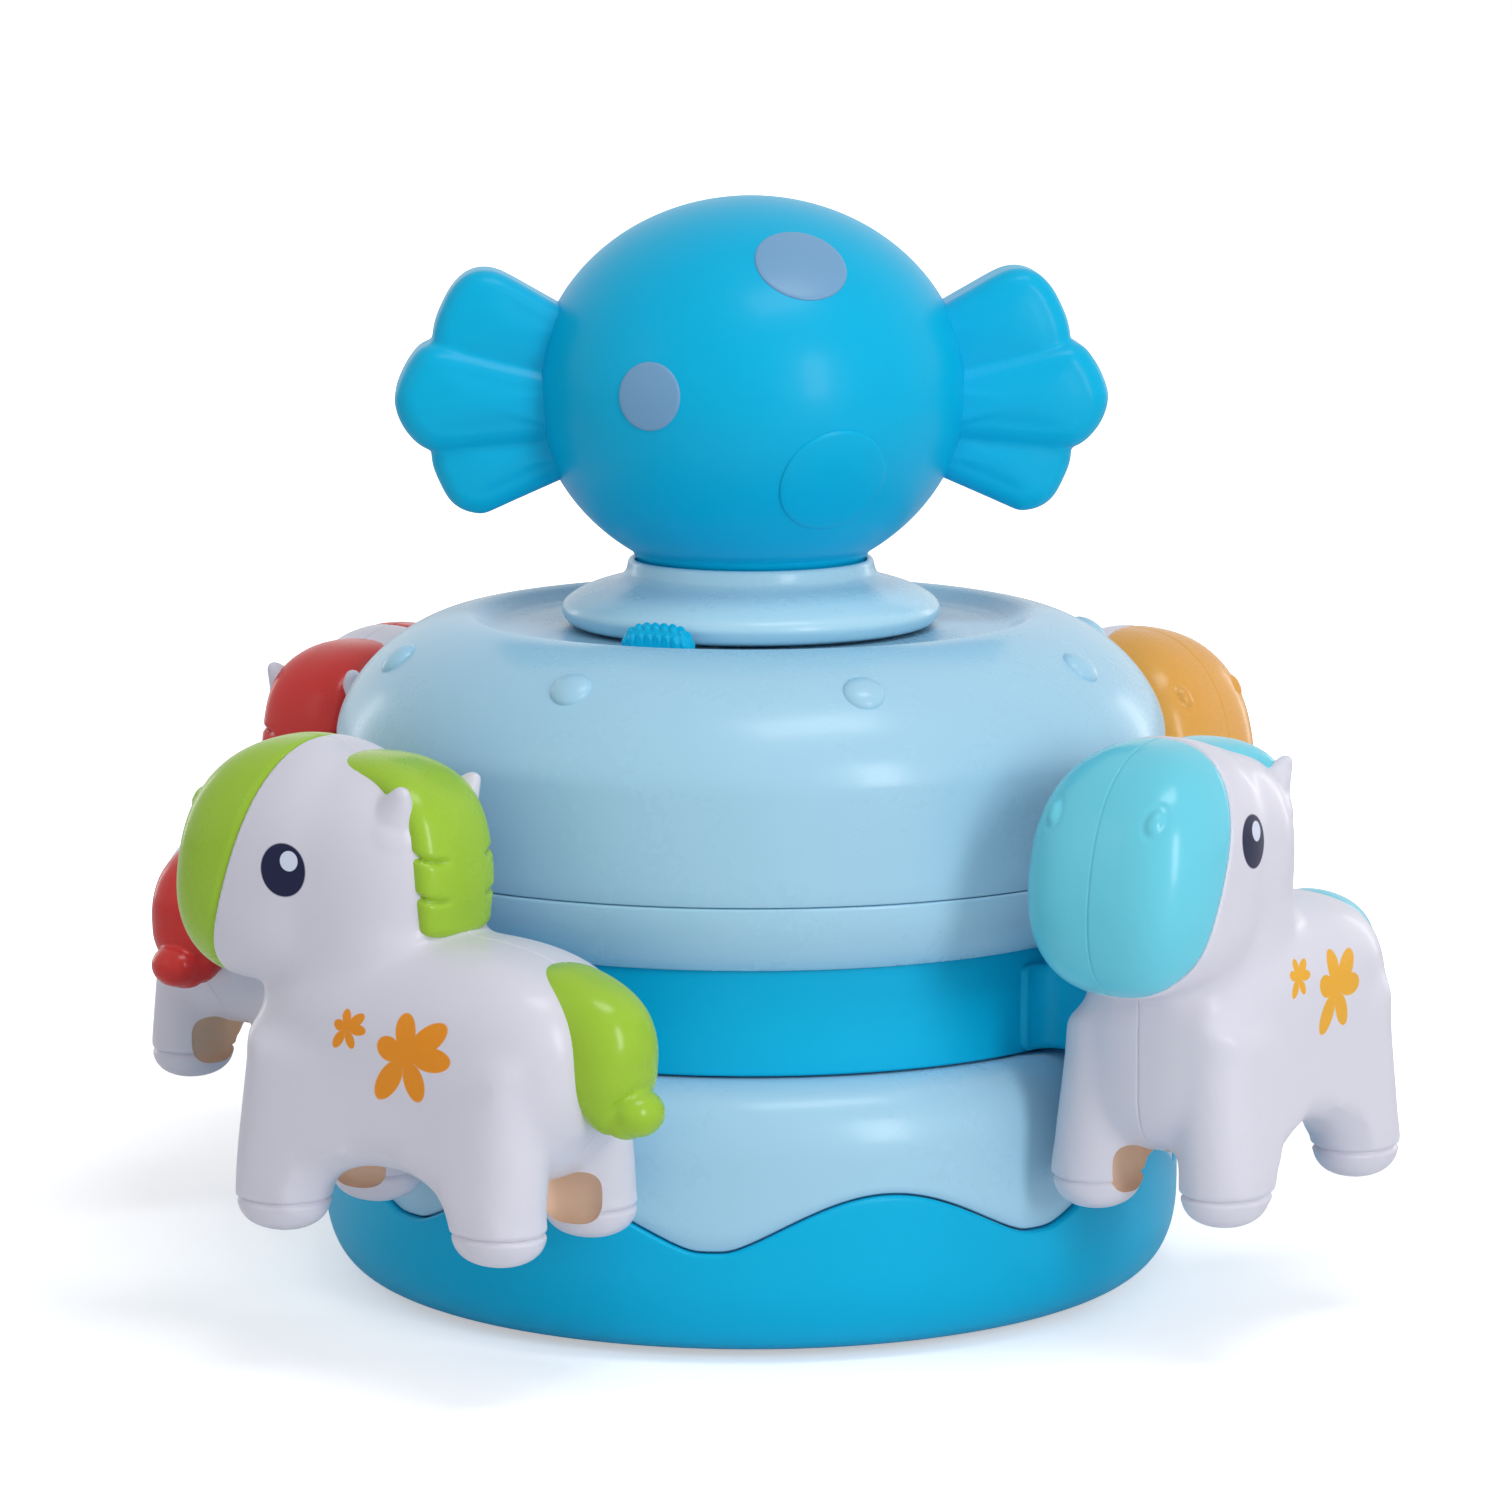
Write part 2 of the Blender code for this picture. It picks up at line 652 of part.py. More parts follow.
def gears():
    mesh_way = -pi / 2
    pinion = bmesh.new()
    prism(pinion, gear_outline(pinion_teeth, mesh_way), pinion_low, pinion_top)
    made = piece("knob_pinion", pinion, "white_nylon")
    bore = bmesh.new()
    rod(bore, 0, 0, pinion_low - mm, pinion_top + mm, shaft_radius + shaft_gap, 16)
    combine(made, bore, "DIFFERENCE", "bore")

    rotor = bmesh.new()
    prism(rotor, gear_outline(rotor_teeth, mesh_way), rotor_low, rotor_top)
    made = piece("rotor_gear", rotor, "white_nylon")
    bore = bmesh.new()
    rod(bore, 0, 0, rotor_low - mm, rotor_top + mm, column_radius + seat_gap, 20)
    for x, y in around(3, hub_stake_circle, pi / 6):
        rod(bore, x, y, rotor_low - mm, rotor_top + mm, stake_radius + shaft_gap, 6)
    combine(made, bore, "DIFFERENCE", "bore")

    idler = bmesh.new()
    low_phase = -mesh_way + pi / idler_low_teeth
    prism(idler, gear_outline(idler_low_teeth, low_phase), boss_top + seat_gap, pinion_top + seat_gap,
          0, idler_y)
    made = piece("idler_gear", idler, "white_nylon")
    high = bmesh.new()
    high_phase = -mesh_way + pi / idler_high_teeth
    prism(high, gear_outline(idler_high_teeth, high_phase), rotor_low + 0.2 * mm, rotor_top - 0.2 * mm,
          0, idler_y)
    combine(made, high, "UNION", "upper_gear")
    sleeve = bmesh.new()
    rod(sleeve, 0, idler_y, pinion_top - mm, rotor_low + mm, idler_sleeve_radius, 12)
    combine(made, sleeve, "UNION", "sleeve")
    bore = bmesh.new()
    rod(bore, 0, idler_y, boss_top - mm, rotor_top + 2 * mm, idler_pin_radius + shaft_gap, 10)
    combine(made, bore, "DIFFERENCE", "bore")

    pin = bmesh.new()
    pin_head = rotor_top + 0.1 * mm
    foot = plate_top + 2 * seat_gap
    outline = [(0, foot), (idler_pin_radius, foot), (idler_pin_radius, pin_head),
               (2 * idler_pin_radius, pin_head), (2 * idler_pin_radius, pin_head + mm), (0, pin_head + mm)]
    turn(pin, outline, 10, matrix=at(0, idler_y, 0))
    piece("idler_pin", pin, "steel")


def column():
    shelf = column_radius + 4.0 * mm
    outline = [(column_bore, frame_low), (frame_radius, frame_low), (frame_radius, frame_top),
               (shelf, frame_top), (shelf, flange_top), (column_radius, flange_top),
               (column_radius, column_top), (column_bore, column_top)]
    made = piece("centre_column", turned(outline, inner_steps), "white_nylon")
    holes = bmesh.new()
    idler_tip = gear_module * (idler_low_teeth / 2 + 1) + seat_gap
    rod(holes, 0, idler_y, frame_low - mm, frame_top + mm, idler_tip, 12)
    for x, y in frame_post_spots:
        rod(holes, x, y, frame_low - mm, frame_top + mm, stake_radius + shaft_gap, 8)
    combine(made, holes, "DIFFERENCE", "holes")

    inner = column_radius + seat_gap
    high = washer_low + washer_thickness
    piece("thrust_washer", turned([(inner, washer_low), (inner + 3.0 * mm, washer_low),
                                   (inner + 3.0 * mm, high), (inner, high)], inner_steps), "steel")
    bush("shaft_bush_lower", shaft_radius, column_bore, frame_low + seat_gap, 16)
    bush("shaft_bush_upper", shaft_radius, column_bore, spigot_low - seat_gap - bush_length, 16)


def bush(name, inside, outside, low, steps):
    """A plain bearing that runs on a shaft of radius inside and sits in a bore of radius outside."""
    high = low + bush_length
    profile = [(inside + shaft_gap, low), (outside - 2 * shaft_gap, low), (outside - 2 * shaft_gap, high),
               (inside + shaft_gap, high)]
    piece(name, turned(profile, steps), "brass")


def drum():
    web = drum_low + drum_web_height
    profile = [(drum_inside, drum_low), (drum_radius, drum_low), (drum_radius, drum_top),
               (drum_inside, drum_top), (drum_inside, web + moulded_wall), (hub_radius, web + moulded_wall),
               (hub_radius, drum_top), (hub_bore, drum_top), (hub_bore, hub_low), (hub_radius, hub_low),
               (hub_radius, web), (drum_inside, web)]
    made = piece("pony_drum", turned(profile), "deep_blue")
    arms = bmesh.new()
    pegs = bmesh.new()
    reach = base_radius + pony_clearance - seat_gap
    half = arm_width / 2
    low = drum_low + 0.5 * mm
    foot = drum_radius + 0.2 * mm
    for k in range(pony_count):
        angle = pony_first_angle + 2 * pi * k / pony_count - pi / 2
        spin = Matrix.Rotation(angle, 4, "Z")
        outline = [(drum_radius - 1.2 * mm, half + arm_fillet), (foot, half + arm_fillet)]
        for j in range(1, 4):
            t = pi / 2 * j / 3
            outline.append((foot + arm_fillet * (1 - cos(t)), half + arm_fillet * (1 - sin(t))))
        outline.append((reach, half))
        outline += [(x, -y) for x, y in reversed(outline)]
        prism(arms, [(spin @ Vector((x, y, 0)))[:2] for x, y in outline], low, low + arm_height)
        way = Vector((cos(angle), sin(angle), 0))
        middle = way * (reach + peg_length / 2 - mm / 2) + Vector((0, 0, arm_middle))
        cross_rod(pegs, middle, way, peg_length + mm, peg_radius, 8)
    combine(made, arms, "UNION", "arms")
    combine(made, pegs, "UNION", "pegs")
    stakes = bmesh.new()
    for x, y in around(3, hub_stake_circle, pi / 6):
        rod(stakes, x, y, rotor_low + mm, hub_low + mm, stake_radius, 6)
    combine(made, stakes, "UNION", "stakes")
    bush("drum_bush_lower", column_radius, hub_bore, hub_low + seat_gap, inner_steps)
    bush("drum_bush_upper", column_radius, hub_bore, drum_top - bush_length - seat_gap, inner_steps)


def roof():
    centre = rim_radius - rim_curve
    start = asin((lip_radius - centre) / rim_curve)
    curve = []
    for k in range(5):
        t = start + (pi / 2 - start) * k / 4
        curve.append((centre + rim_curve * sin(t), seam - 0.6 * mm - rim_curve * cos(t)))
    lip = rim_radius - moulded_wall - seat_gap
    web_top = rim_web_low + moulded_wall
    lip_inside = lip - 1.8 * mm
    lip_top = seam + 2.6 * mm
    profile = curve + [(rim_radius, seam), (lip, seam), (lip, lip_top), (lip_inside, lip_top),
                       (lip_inside, web_top), (rim_web_inside, web_top), (rim_web_inside, rim_web_low),
                       (lip_radius, rim_web_low)]
    piece("roof_rim", turned(profile), "pale_blue")

    rise = ridge - shoulder
    dome = [(ridge_radius + a, shoulder + b)
            for a, b in arc_power(roof_dome_width, rise, roof_dome_power, 5)]
    inner_dome = [(ridge_radius + a, shoulder + b) for a, b in
                  arc_power(roof_dome_width - moulded_wall, rise - moulded_wall, roof_dome_power, 2)]
    slope = ridge_radius - dish_slope
    tube = column_radius + seat_gap
    hub_out = tube + 2.6 * mm
    hub_end = drum_top + 2.0 * mm
    edge = seam + shaft_gap
    profile = [(rim_radius - moulded_wall, edge), (rim_radius, edge)] + dome
    hole = collar_spigot_radius + seat_gap
    profile += [(slope, dish_floor), (hole, dish_floor), (hole, roof_under),
                (tube, roof_under), (tube, hub_end), (hub_out, hub_end), (hub_out, roof_under),
                (slope - 0.5 * mm, roof_under)]
    profile += list(reversed(inner_dome))
    made = piece("roof_shell", turned(profile), "pale_blue")
    bumps = bmesh.new()
    bump_circle = roof_radius - bump_inset
    share = (bump_circle - ridge_radius) / roof_dome_width
    bump_z = shoulder + rise * (1 - share ** roof_dome_power) ** (1 / roof_dome_power)
    for k in range(bump_count):
        frame = (Matrix.Rotation(bump_angle + 2 * pi * k / bump_count, 4, "Z")
                 @ Matrix.Translation((bump_circle, 0, bump_z)) @ Matrix.Rotation(bump_lean, 4, "Y")
                 @ Matrix.Diagonal((bump_radius, bump_radius, bump_rise, 1.0)))
        bmesh.ops.create_uvsphere(bumps, u_segments=6, v_segments=4, radius=1.0, matrix=frame)
    combine(made, bumps, "UNION", "bumps")
    posts = bmesh.new()
    seat = board_top + shaft_gap
    stake = board_top - board_thickness - 0.6 * mm
    pin = 0.8 * stake_radius
    for x, y in board_posts():
        root = roof_under + 0.8 * mm
        outline = [(0, stake), (pin, stake), (pin, seat), (2.4 * mm, seat), (2.4 * mm, root), (0, root)]
        turn(posts, outline, 6, matrix=at(x, y, 0))
    combine(made, posts, "UNION", "posts")
    slot_cut = bmesh.new()
    block(slot_cut, (-switch_slot, -1.1 * mm, roof_under - mm), (switch_slot, 1.1 * mm, dish_floor + mm),
          switch_frame())
    combine(made, slot_cut, "DIFFERENCE", "switch_slot")


def board_posts():
    spot = switch_frame()
    return [(spot @ Vector((side * board_post_x, 0, 0)))[:2] for side in (-1, 1)]


def switch_frame():
    """Local x runs along the switch's travel, y points in to the axis, z up."""
    return (Matrix.Translation((switch_circle * cos(switch_angle), switch_circle * sin(switch_angle), 0))
            @ Matrix.Rotation(switch_angle + pi / 2, 4, "Z"))


def collar():
    low = collar_low
    bore = neck_radius + 1.6 * seat_gap
    ring = bore + collar_ring_wall
    hole = shaft_radius + 0.5 * mm
    outline = [(hole, spigot_low), (collar_spigot_radius, spigot_low), (collar_spigot_radius, low),
               (collar_radius - 0.6 * mm, low), (collar_radius, low + 2.2 * mm),
               (collar_radius - 1.4 * mm, low + 4.6 * mm), (collar_radius - 4.4 * mm, low + 6.6 * mm),
               (ring + 1.6 * mm, low + 7.8 * mm), (ring + 0.3 * mm, low + 9.2 * mm),
               (ring - 0.4 * mm, collar_top), (bore, collar_top), (bore, collar_well), (hole, collar_well)]
    piece("collar", turned(outline), "pale_blue")


def switch_and_board():
    spot = switch_frame()
    cap = bmesh.new()
    half = switch_length / 2
    low = dish_floor + seat_gap
    rise = switch_rise - seat_gap
    left = [(-half, low), (-half + 0.4 * mm, low + 0.55 * rise), (-half + 1.6 * mm, low + 0.9 * rise),
            (-half + 3.2 * mm, low + rise)]
    outline = left + [(-x, z) for x, z in reversed(left)]
    ends = []
    for y, share in ((-0.5, 0.72), (-0.36, 0.95), (0.0, 1.0), (0.36, 0.95), (0.5, 0.72)):
        ends.append([cap.verts.new(spot @ Vector((x, y * switch_depth, low + (z - low) * share)))
                     for x, z in outline])
    for a, b in zip(ends, ends[1:]):
        for k in range(len(outline)):
            n = (k + 1) % len(outline)
            cap.faces.new((a[k], a[n], b[n], b[k]))
    cap.faces.new(ends[0])
    cap.faces.new(list(reversed(ends[-1])))
    made = piece("mode_switch", cap, "deep_blue")
    stem = bmesh.new()
    reach = switch_stem / 2
    block(stem, (-reach, -0.8 * mm, roof_under - 2.4 * mm), (reach, 0.8 * mm, low + mm), spot)
    combine(made, stem, "UNION", "stem")
    shutter = bmesh.new()
    cover = switch_slot + switch_travel + seat_gap
    block(shutter, (-cover, -1.8 * mm, roof_under - 0.9 * mm), (cover, 1.8 * mm, roof_under - seat_gap), spot)
    combine(made, shutter, "UNION", "shutter")

    body = bmesh.new()
    long = switch_slot + switch_wall
    block(body, (-long, -2.4 * mm, board_top + seat_gap), (long, 2.4 * mm, roof_under - 1.3 * mm), spot)
    made = piece("slide_switch_body", body, "steel")
    slot = bmesh.new()
    block(slot, (-switch_slot, -1.1 * mm, roof_under - 3.0 * mm), (switch_slot, 1.1 * mm, roof_under + mm),
          spot)
    combine(made, slot, "DIFFERENCE", "slot")

    board = bmesh.new()
    block(board, (-board_length / 2, -board_width / 2, board_top - board_thickness),
          (board_length / 2, board_width / 2, board_top), spot)
    made = piece("circuit_board", board, "board_green")
    holes = bmesh.new()
    for x, y in board_posts():
        rod(holes, x, y, board_top - 4 * mm, board_top + 4 * mm, 0.8 * stake_radius + shaft_gap, 6)
    combine(made, holes, "DIFFERENCE", "holes")


def ball_angle(radius):
    return -asin(sqrt(1 - (radius / ball_radius) ** 2))


def ball_outline(wide, high, low_angle, count):
    """From where the ball meets its neck up to its top, as (radius, height)."""
    points = []
    for k in range(count + 1):
        t = low_angle + (pi / 2 - low_angle) * k / count
        points.append((wide * cos(t) if k < count else 0.0, ball_centre + high * sin(t)))
    return points


def raised_disc(bm, place_on, radius):
    """A thin round patch that follows the ball a little above its face and runs into its wall."""
    middle = Vector(place_on)
    scale = Vector((ball_radius, ball_radius, ball_half_height))
    outward = Vector([m / s ** 2 for m, s in zip(middle, scale)]).normalized()
    side = outward.cross(Vector((0, 0, 1))).normalized()
    up = side.cross(outward)
    rings = []
    for share, rise in ((0.0, disc_rise), (1.0, disc_rise), (1.0, -0.5 * ball_wall), (0.0, -0.5 * ball_wall)):
        ring = []
        for k in range(10):
            t = 2 * pi * k / 10
            point = middle + side * (share * radius * cos(t)) + up * (share * radius * sin(t))
            length = Vector([p / s for p, s in zip(point, scale)]).length
            point = point / length + outward * rise
            if share == 0.0 and ring:
                ring.append(ring[0])
            else:
                ring.append(bm.verts.new(point + Vector((0, 0, ball_centre))))
        rings.append(ring)
    for a, b in zip(rings, rings[1:]):
        for k in range(10):
            n = (k + 1) % 10
            corners = list(dict.fromkeys((a[k], a[n], b[n], b[k])))
            if len(corners) > 2:
                bm.faces.new(corners)


front_discs = (((8.4 * mm, -22.9 * mm, 24.3 * mm), 7.8 * mm), ((-17.2 * mm, -31.8 * mm, 3.7 * mm), 5.7 * mm),
               ((14.0 * mm, -31.5 * mm, -9.9 * mm), 9.9 * mm))


def knob():
    axis = bpy.data.objects.new("knob_axis", None)
    bpy.context.scene.collection.objects.link(axis)
    axis.rotation_euler = (0, 0, knob_turn)
    inner_r = ball_radius - ball_wall
    inner_h = ball_half_height - ball_wall
    inner_low = -asin((ball_centre - neck_web_top - 0.6 * mm) / inner_h)
    outer = ball_outline(ball_radius, ball_half_height, ball_angle(neck_radius), 8)
    inner = list(reversed(ball_outline(inner_r, inner_h, inner_low, 5)))
    bore = shaft_radius + shaft_gap
    flange = knob_flange_radius + seat_gap
    profile = [(bore, neck_low), (neck_radius - 0.8 * mm, neck_low), (neck_radius, neck_low + 0.8 * mm)]
    profile += outer + inner
    profile += [(bore, inner[-1][1]), (bore, groove_high), (flange, groove_high), (flange, groove_low),
                (bore, groove_low)]
    for name, way in (("knob_front_half", -1), ("knob_back_half", 1)):
        start = pi if way < 0 else 0.0
        made = piece(name, turned(profile, knob_steps, start, pi), "deep_blue")
        made.location = (0, way * seat_gap / 2, 0)
        made.parent = axis
        back = Matrix.Translation((0, -way * seat_gap / 2, 0))
        wing_cut = bmesh.new()
        cross_rod(wing_cut, (0, 0, ball_centre), (1, 0, 0), 3 * ball_radius, wing_plug_radius + seat_gap, 10)
        posts = bmesh.new()
        holes = bmesh.new()
        for x, z in knob_screw_spots:
            deep = inner_r * sqrt(1 - (x / inner_r) ** 2 - (z / inner_h) ** 2) + 0.8 * mm
            near = 0.6 * mm
            middle = (x, way * (near + deep) / 2, ball_centre + z)
            cross_rod(posts, middle, (0, 1, 0), deep - near, 3.2 * mm, 6)
            frame = Matrix.Translation((x, knob_screw_seat, ball_centre + z))
            frame = frame @ Matrix.Rotation(-pi / 2, 4, "X")
            screw_hole(holes, knob_screw_length, frame, ball_radius)
            if way > 0:
                side = "left" if x < 0 else "right"
                screw(f"knob_screw_{side}", knob_screw_length, frame).parent = axis
        discs = bmesh.new()
        for (dx, dy, dz), radius in front_discs:
            facing = -knob_turn if way < 0 else pi - knob_turn
            raised_disc(discs, Matrix.Rotation(facing, 4, "Z") @ Vector((dx, dy, dz)), radius)
        changes = ((posts, "UNION", "posts"), (discs, "UNION", "discs"), (holes, "DIFFERENCE", "screw_holes"),
                   (wing_cut, "DIFFERENCE", "wing_holes"))
        for bm, operation, label in changes:
            bm.transform(back)
            combine(made, bm, operation, label)
        for mod in made.modifiers:
            mod.object.parent = axis
            mod.object.location = made.location
    for name, side in (("knob_wing_left", -1), ("knob_wing_right", 1)):
        made = piece(name, finger(side, middle_finger), "deep_blue")
        made.parent = axis
        combine(made, finger(side, upper_finger), "UNION", "upper_finger")
        combine(made, finger(side, lower_finger), "UNION", "lower_finger")
        seat = bmesh.new()
        grown = ball_outline(ball_radius + seat_gap, ball_half_height + seat_gap, ball_angle(neck_radius), 8)
        turn(seat, [(0, grown[0][1])] + grown, 2 * knob_steps)
        combine(made, seat, "DIFFERENCE", "ball_seat")
        plug = bmesh.new()
        inside = inner_r - 4.4 * mm
        length = ball_radius + 3.0 * mm - inside
        middle = (side * (inside + length / 2), 0, ball_centre)
        cross_rod(plug, middle, (1, 0, 0), length, wing_plug_radius, 10)
        combine(made, plug, "UNION", "plug")
        flange_plate = bmesh.new()
        cross_rod(flange_plate, (side * (inside + mm), 0, ball_centre), (1, 0, 0), 1.6 * mm,
                  wing_plug_radius + 2.2 * mm, 10)
        combine(made, flange_plate, "UNION", "plug_flange")
        for mod in made.modifiers:
            mod.object.parent = axis

    end = plate_top + 2 * seat_gap
    outline = [(0, end), (shaft_radius, end), (shaft_radius, groove_low + seat_gap),
               (knob_flange_radius, groove_low + seat_gap), (knob_flange_radius, groove_high - seat_gap),
               (0, groove_high - seat_gap)]
    piece("knob_shaft", turned(outline, inner_steps), "steel").parent = axis
    clip = [(shaft_radius + shaft_gap, boss_top + seat_gap), (shaft_radius + 2.4 * mm, boss_top + seat_gap),
            (shaft_radius + 2.4 * mm, boss_top + seat_gap + clip_thickness),
            (shaft_radius + shaft_gap, boss_top + seat_gap + clip_thickness)]
    piece("shaft_clip", turned(clip, 16), "steel").parent = axis


# A wrapper finger: (out from the ball's centre, up from it, half height, half depth) at the root
# and at the centre of its rounded tip, then how far the tip reaches past that centre
tip_out = ball_radius + wing_reach
middle_finger = ((30.0 * mm, -1.6 * mm, 5.5 * mm, 6.5 * mm),
                 (tip_out - 6.6 * mm, -1.1 * mm, 8.6 * mm, 10.5 * mm), 6.6 * mm)
upper_finger = ((29.0 * mm, 8.2 * mm, 6.0 * mm, 5.5 * mm),
                (tip_out - 12.7 * mm, 14.5 * mm, 6.5 * mm, 7.6 * mm), 6.4 * mm)
lower_finger = ((29.0 * mm, -8.2 * mm, 6.0 * mm, 5.5 * mm),
                (tip_out - 12.7 * mm, -14.2 * mm, 6.5 * mm, 7.6 * mm), 6.4 * mm)


def finger(side, sizes):
    """A tapered finger with a rounded tip, its oval sections square to its line."""
    root, tip, cap = sizes
    start = Vector((root[0], 0, root[1]))
    end = Vector((tip[0], 0, tip[1]))
    line = (end - start).normalized()
    across = Vector((-line.z, 0, line.x))
    bm = bmesh.new()
    sections = [(start, root[2], root[3]),
                ((start + end) / 2, (root[2] + tip[2]) / 2, (root[3] + tip[3]) / 2),
                (end, tip[2], tip[3])]
    for t in (pi / 6, pi / 3):
        sections.append((end + line * cap * sin(t), tip[2] * cos(t), tip[3] * cos(t)))
    rings = []
    for centre, half_height, half_depth in sections:
        ring = []
        for k in range(10):
            t = 2 * pi * k / 10
            point = centre + across * half_height * sin(t) + Vector((0, 1, 0)) * half_depth * cos(t)
            ring.append(bm.verts.new((side * point.x, point.y, ball_centre + point.z)))
        rings.append(ring)
    bm.faces.new(rings[0])
    for a, b in zip(rings, rings[1:]):
        for k in range(10):
            n = (k + 1) % 10
            bm.faces.new((a[k], a[n], b[n], b[k]))
    peak = end + line * cap
    top = bm.verts.new((side * peak.x, peak.y, ball_centre + peak.z))
    for k in range(10):
        bm.faces.new((rings[-1][k], rings[-1][(k + 1) % 10], top))
    return bm


def rounded_form(bm, centre, half, plan_power, side_power, lean=0.0, u_steps=20, v_steps=12):
    """An ellipsoid, squarer where a power is above 2; lean shifts it along x as it rises."""
    def bent(value, power):
        return (1 if value >= 0 else -1) * abs(value) ** (2 / power)
    rings = []
    for j in range(v_steps + 1):
        v = -pi / 2 + pi * j / v_steps
        up = half[2] * bent(sin(v), side_power)
        width = max(cos(v), 0.0) ** (2 / side_power)
        ring = []
        for k in range(u_steps):
            u = 2 * pi * k / u_steps
            if j in (0, v_steps) and ring:
                ring.append(ring[0])
                continue
            x = half[0] * width * bent(cos(u), plan_power) if j not in (0, v_steps) else 0.0
            y = half[1] * width * bent(sin(u), plan_power) if j not in (0, v_steps) else 0.0
            ring.append(bm.verts.new((centre[0] + x + lean * up, centre[1] + y, centre[2] + up)))
        rings.append(ring)
    for a, b in zip(rings, rings[1:]):
        for k in range(u_steps):
            n = (k + 1) % u_steps
            corners = list(dict.fromkeys((a[k], a[n], b[n], b[k])))
            if len(corners) > 2:
                bm.faces.new(corners)


def sausage(bm, stations, grow=0.0, steps=6):
    """A bent form along the mid-plane: each station is (along, up, half thickness, half width)."""
    centres = [Vector((s[0], pony_orbit, hooves + s[1])) for s in stations]
    rings = []
    for i, centre in enumerate(centres):
        before = centres[max(i - 1, 0)]
        after = centres[min(i + 1, len(centres) - 1)]
        line = (after - before).normalized()
        across = Vector((-line.z, 0, line.x))
        thick, wide = stations[i][2:]
        sideways = Vector((0, wide, 0))
        turns = [2 * pi * k / steps for k in range(steps)]
        rings.append([bm.verts.new(centre + across * thick * sin(t) + sideways * cos(t)) for t in turns])
    bm.faces.new(rings[0])
    bm.faces.new(list(reversed(rings[-1])))
    for a, b in zip(rings, rings[1:]):
        for k in range(steps):
            n = (k + 1) % steps
            bm.faces.new((a[k], a[n], b[n], b[k]))
    bmesh.ops.triangulate(bm, faces=bm.faces[:])
    bmesh.ops.recalc_face_normals(bm, faces=bm.faces[:])
    for vert, way in [(vert, vert.normal.copy()) for vert in bm.verts]:
        vert.co += way * grow


# Stations of the mane and the tail in the pony's side view: along its travel, and up from its hooves
mane_line = ((16.0, 73.0, 0.8, 2.6), (13.0, 73.2, 1.8, 5.4), (8.0, 72.7, 2.8, 7.4), (2.0, 72.0, 3.3, 8.4),
             (-3.4, 69.4, 3.5, 8.6), (-6.6, 65.0, 3.5, 8.6), (-8.0, 57.0, 3.4, 8.4), (-8.0, 50.0, 2.6, 7.6))
tail_line = ((-22.4, 44.8, 2.2, 4.2), (-29.0, 42.2, 5.0, 6.6), (-33.8, 36.4, 8.0, 7.6),
             (-36.4, 29.2, 6.4, 7.4), (-38.6, 23.8, 4.6, 6.2), (-42.4, 21.8, 3.0, 4.4),
             (-45.4, 23.0, 1.8, 2.8))


def in_metres(stations, half_width, half_thickness):
    wide = max(s[3] for s in stations)
    thick = max(s[2] for s in stations)
    return [(s[0] * mm, s[1] * mm, s[2] / thick * half_thickness, s[3] / wide * half_width) for s in stations]


def seam_frame(gap):
    """At the foot of the leaning plane where the muzzle cap meets the head, moved by gap; x points ahead."""
    ahead = Vector((cos(seam_lean), 0, sin(seam_lean)))
    foot = ahead * (muzzle_seam + gap) + Vector((0, pony_orbit, hooves))
    return Matrix.Translation(foot) @ Matrix.Rotation(-seam_lean, 4, "Y")


def pony_spot(along, side, rise):
    return Vector((along, pony_orbit + side, hooves + rise))


def centred(bm, along, rise, size, plan_power, side_power, lean=0.0, steps=(20, 12)):
    half = [value / 2 for value in size]
    rounded_form(bm, pony_spot(along, 0, rise), half, plan_power, side_power, lean, *steps)


def fused(name, mesh, soften):
    """Melts overlapping forms into one skin, and rounds the hollows between them."""
    made = bpy.data.objects.new(name, mesh)
    bpy.context.scene.collection.objects.link(made)
    made.hide_render = True
    made.display_type = "WIRE"
    remesh = made.modifiers.new("join", "REMESH")
    remesh.mode = "VOXEL"
    remesh.voxel_size = pony_detail
    smooth = made.modifiers.new("soften", "SMOOTH")
    smooth.factor = 0.5
    smooth.iterations = soften
    return made


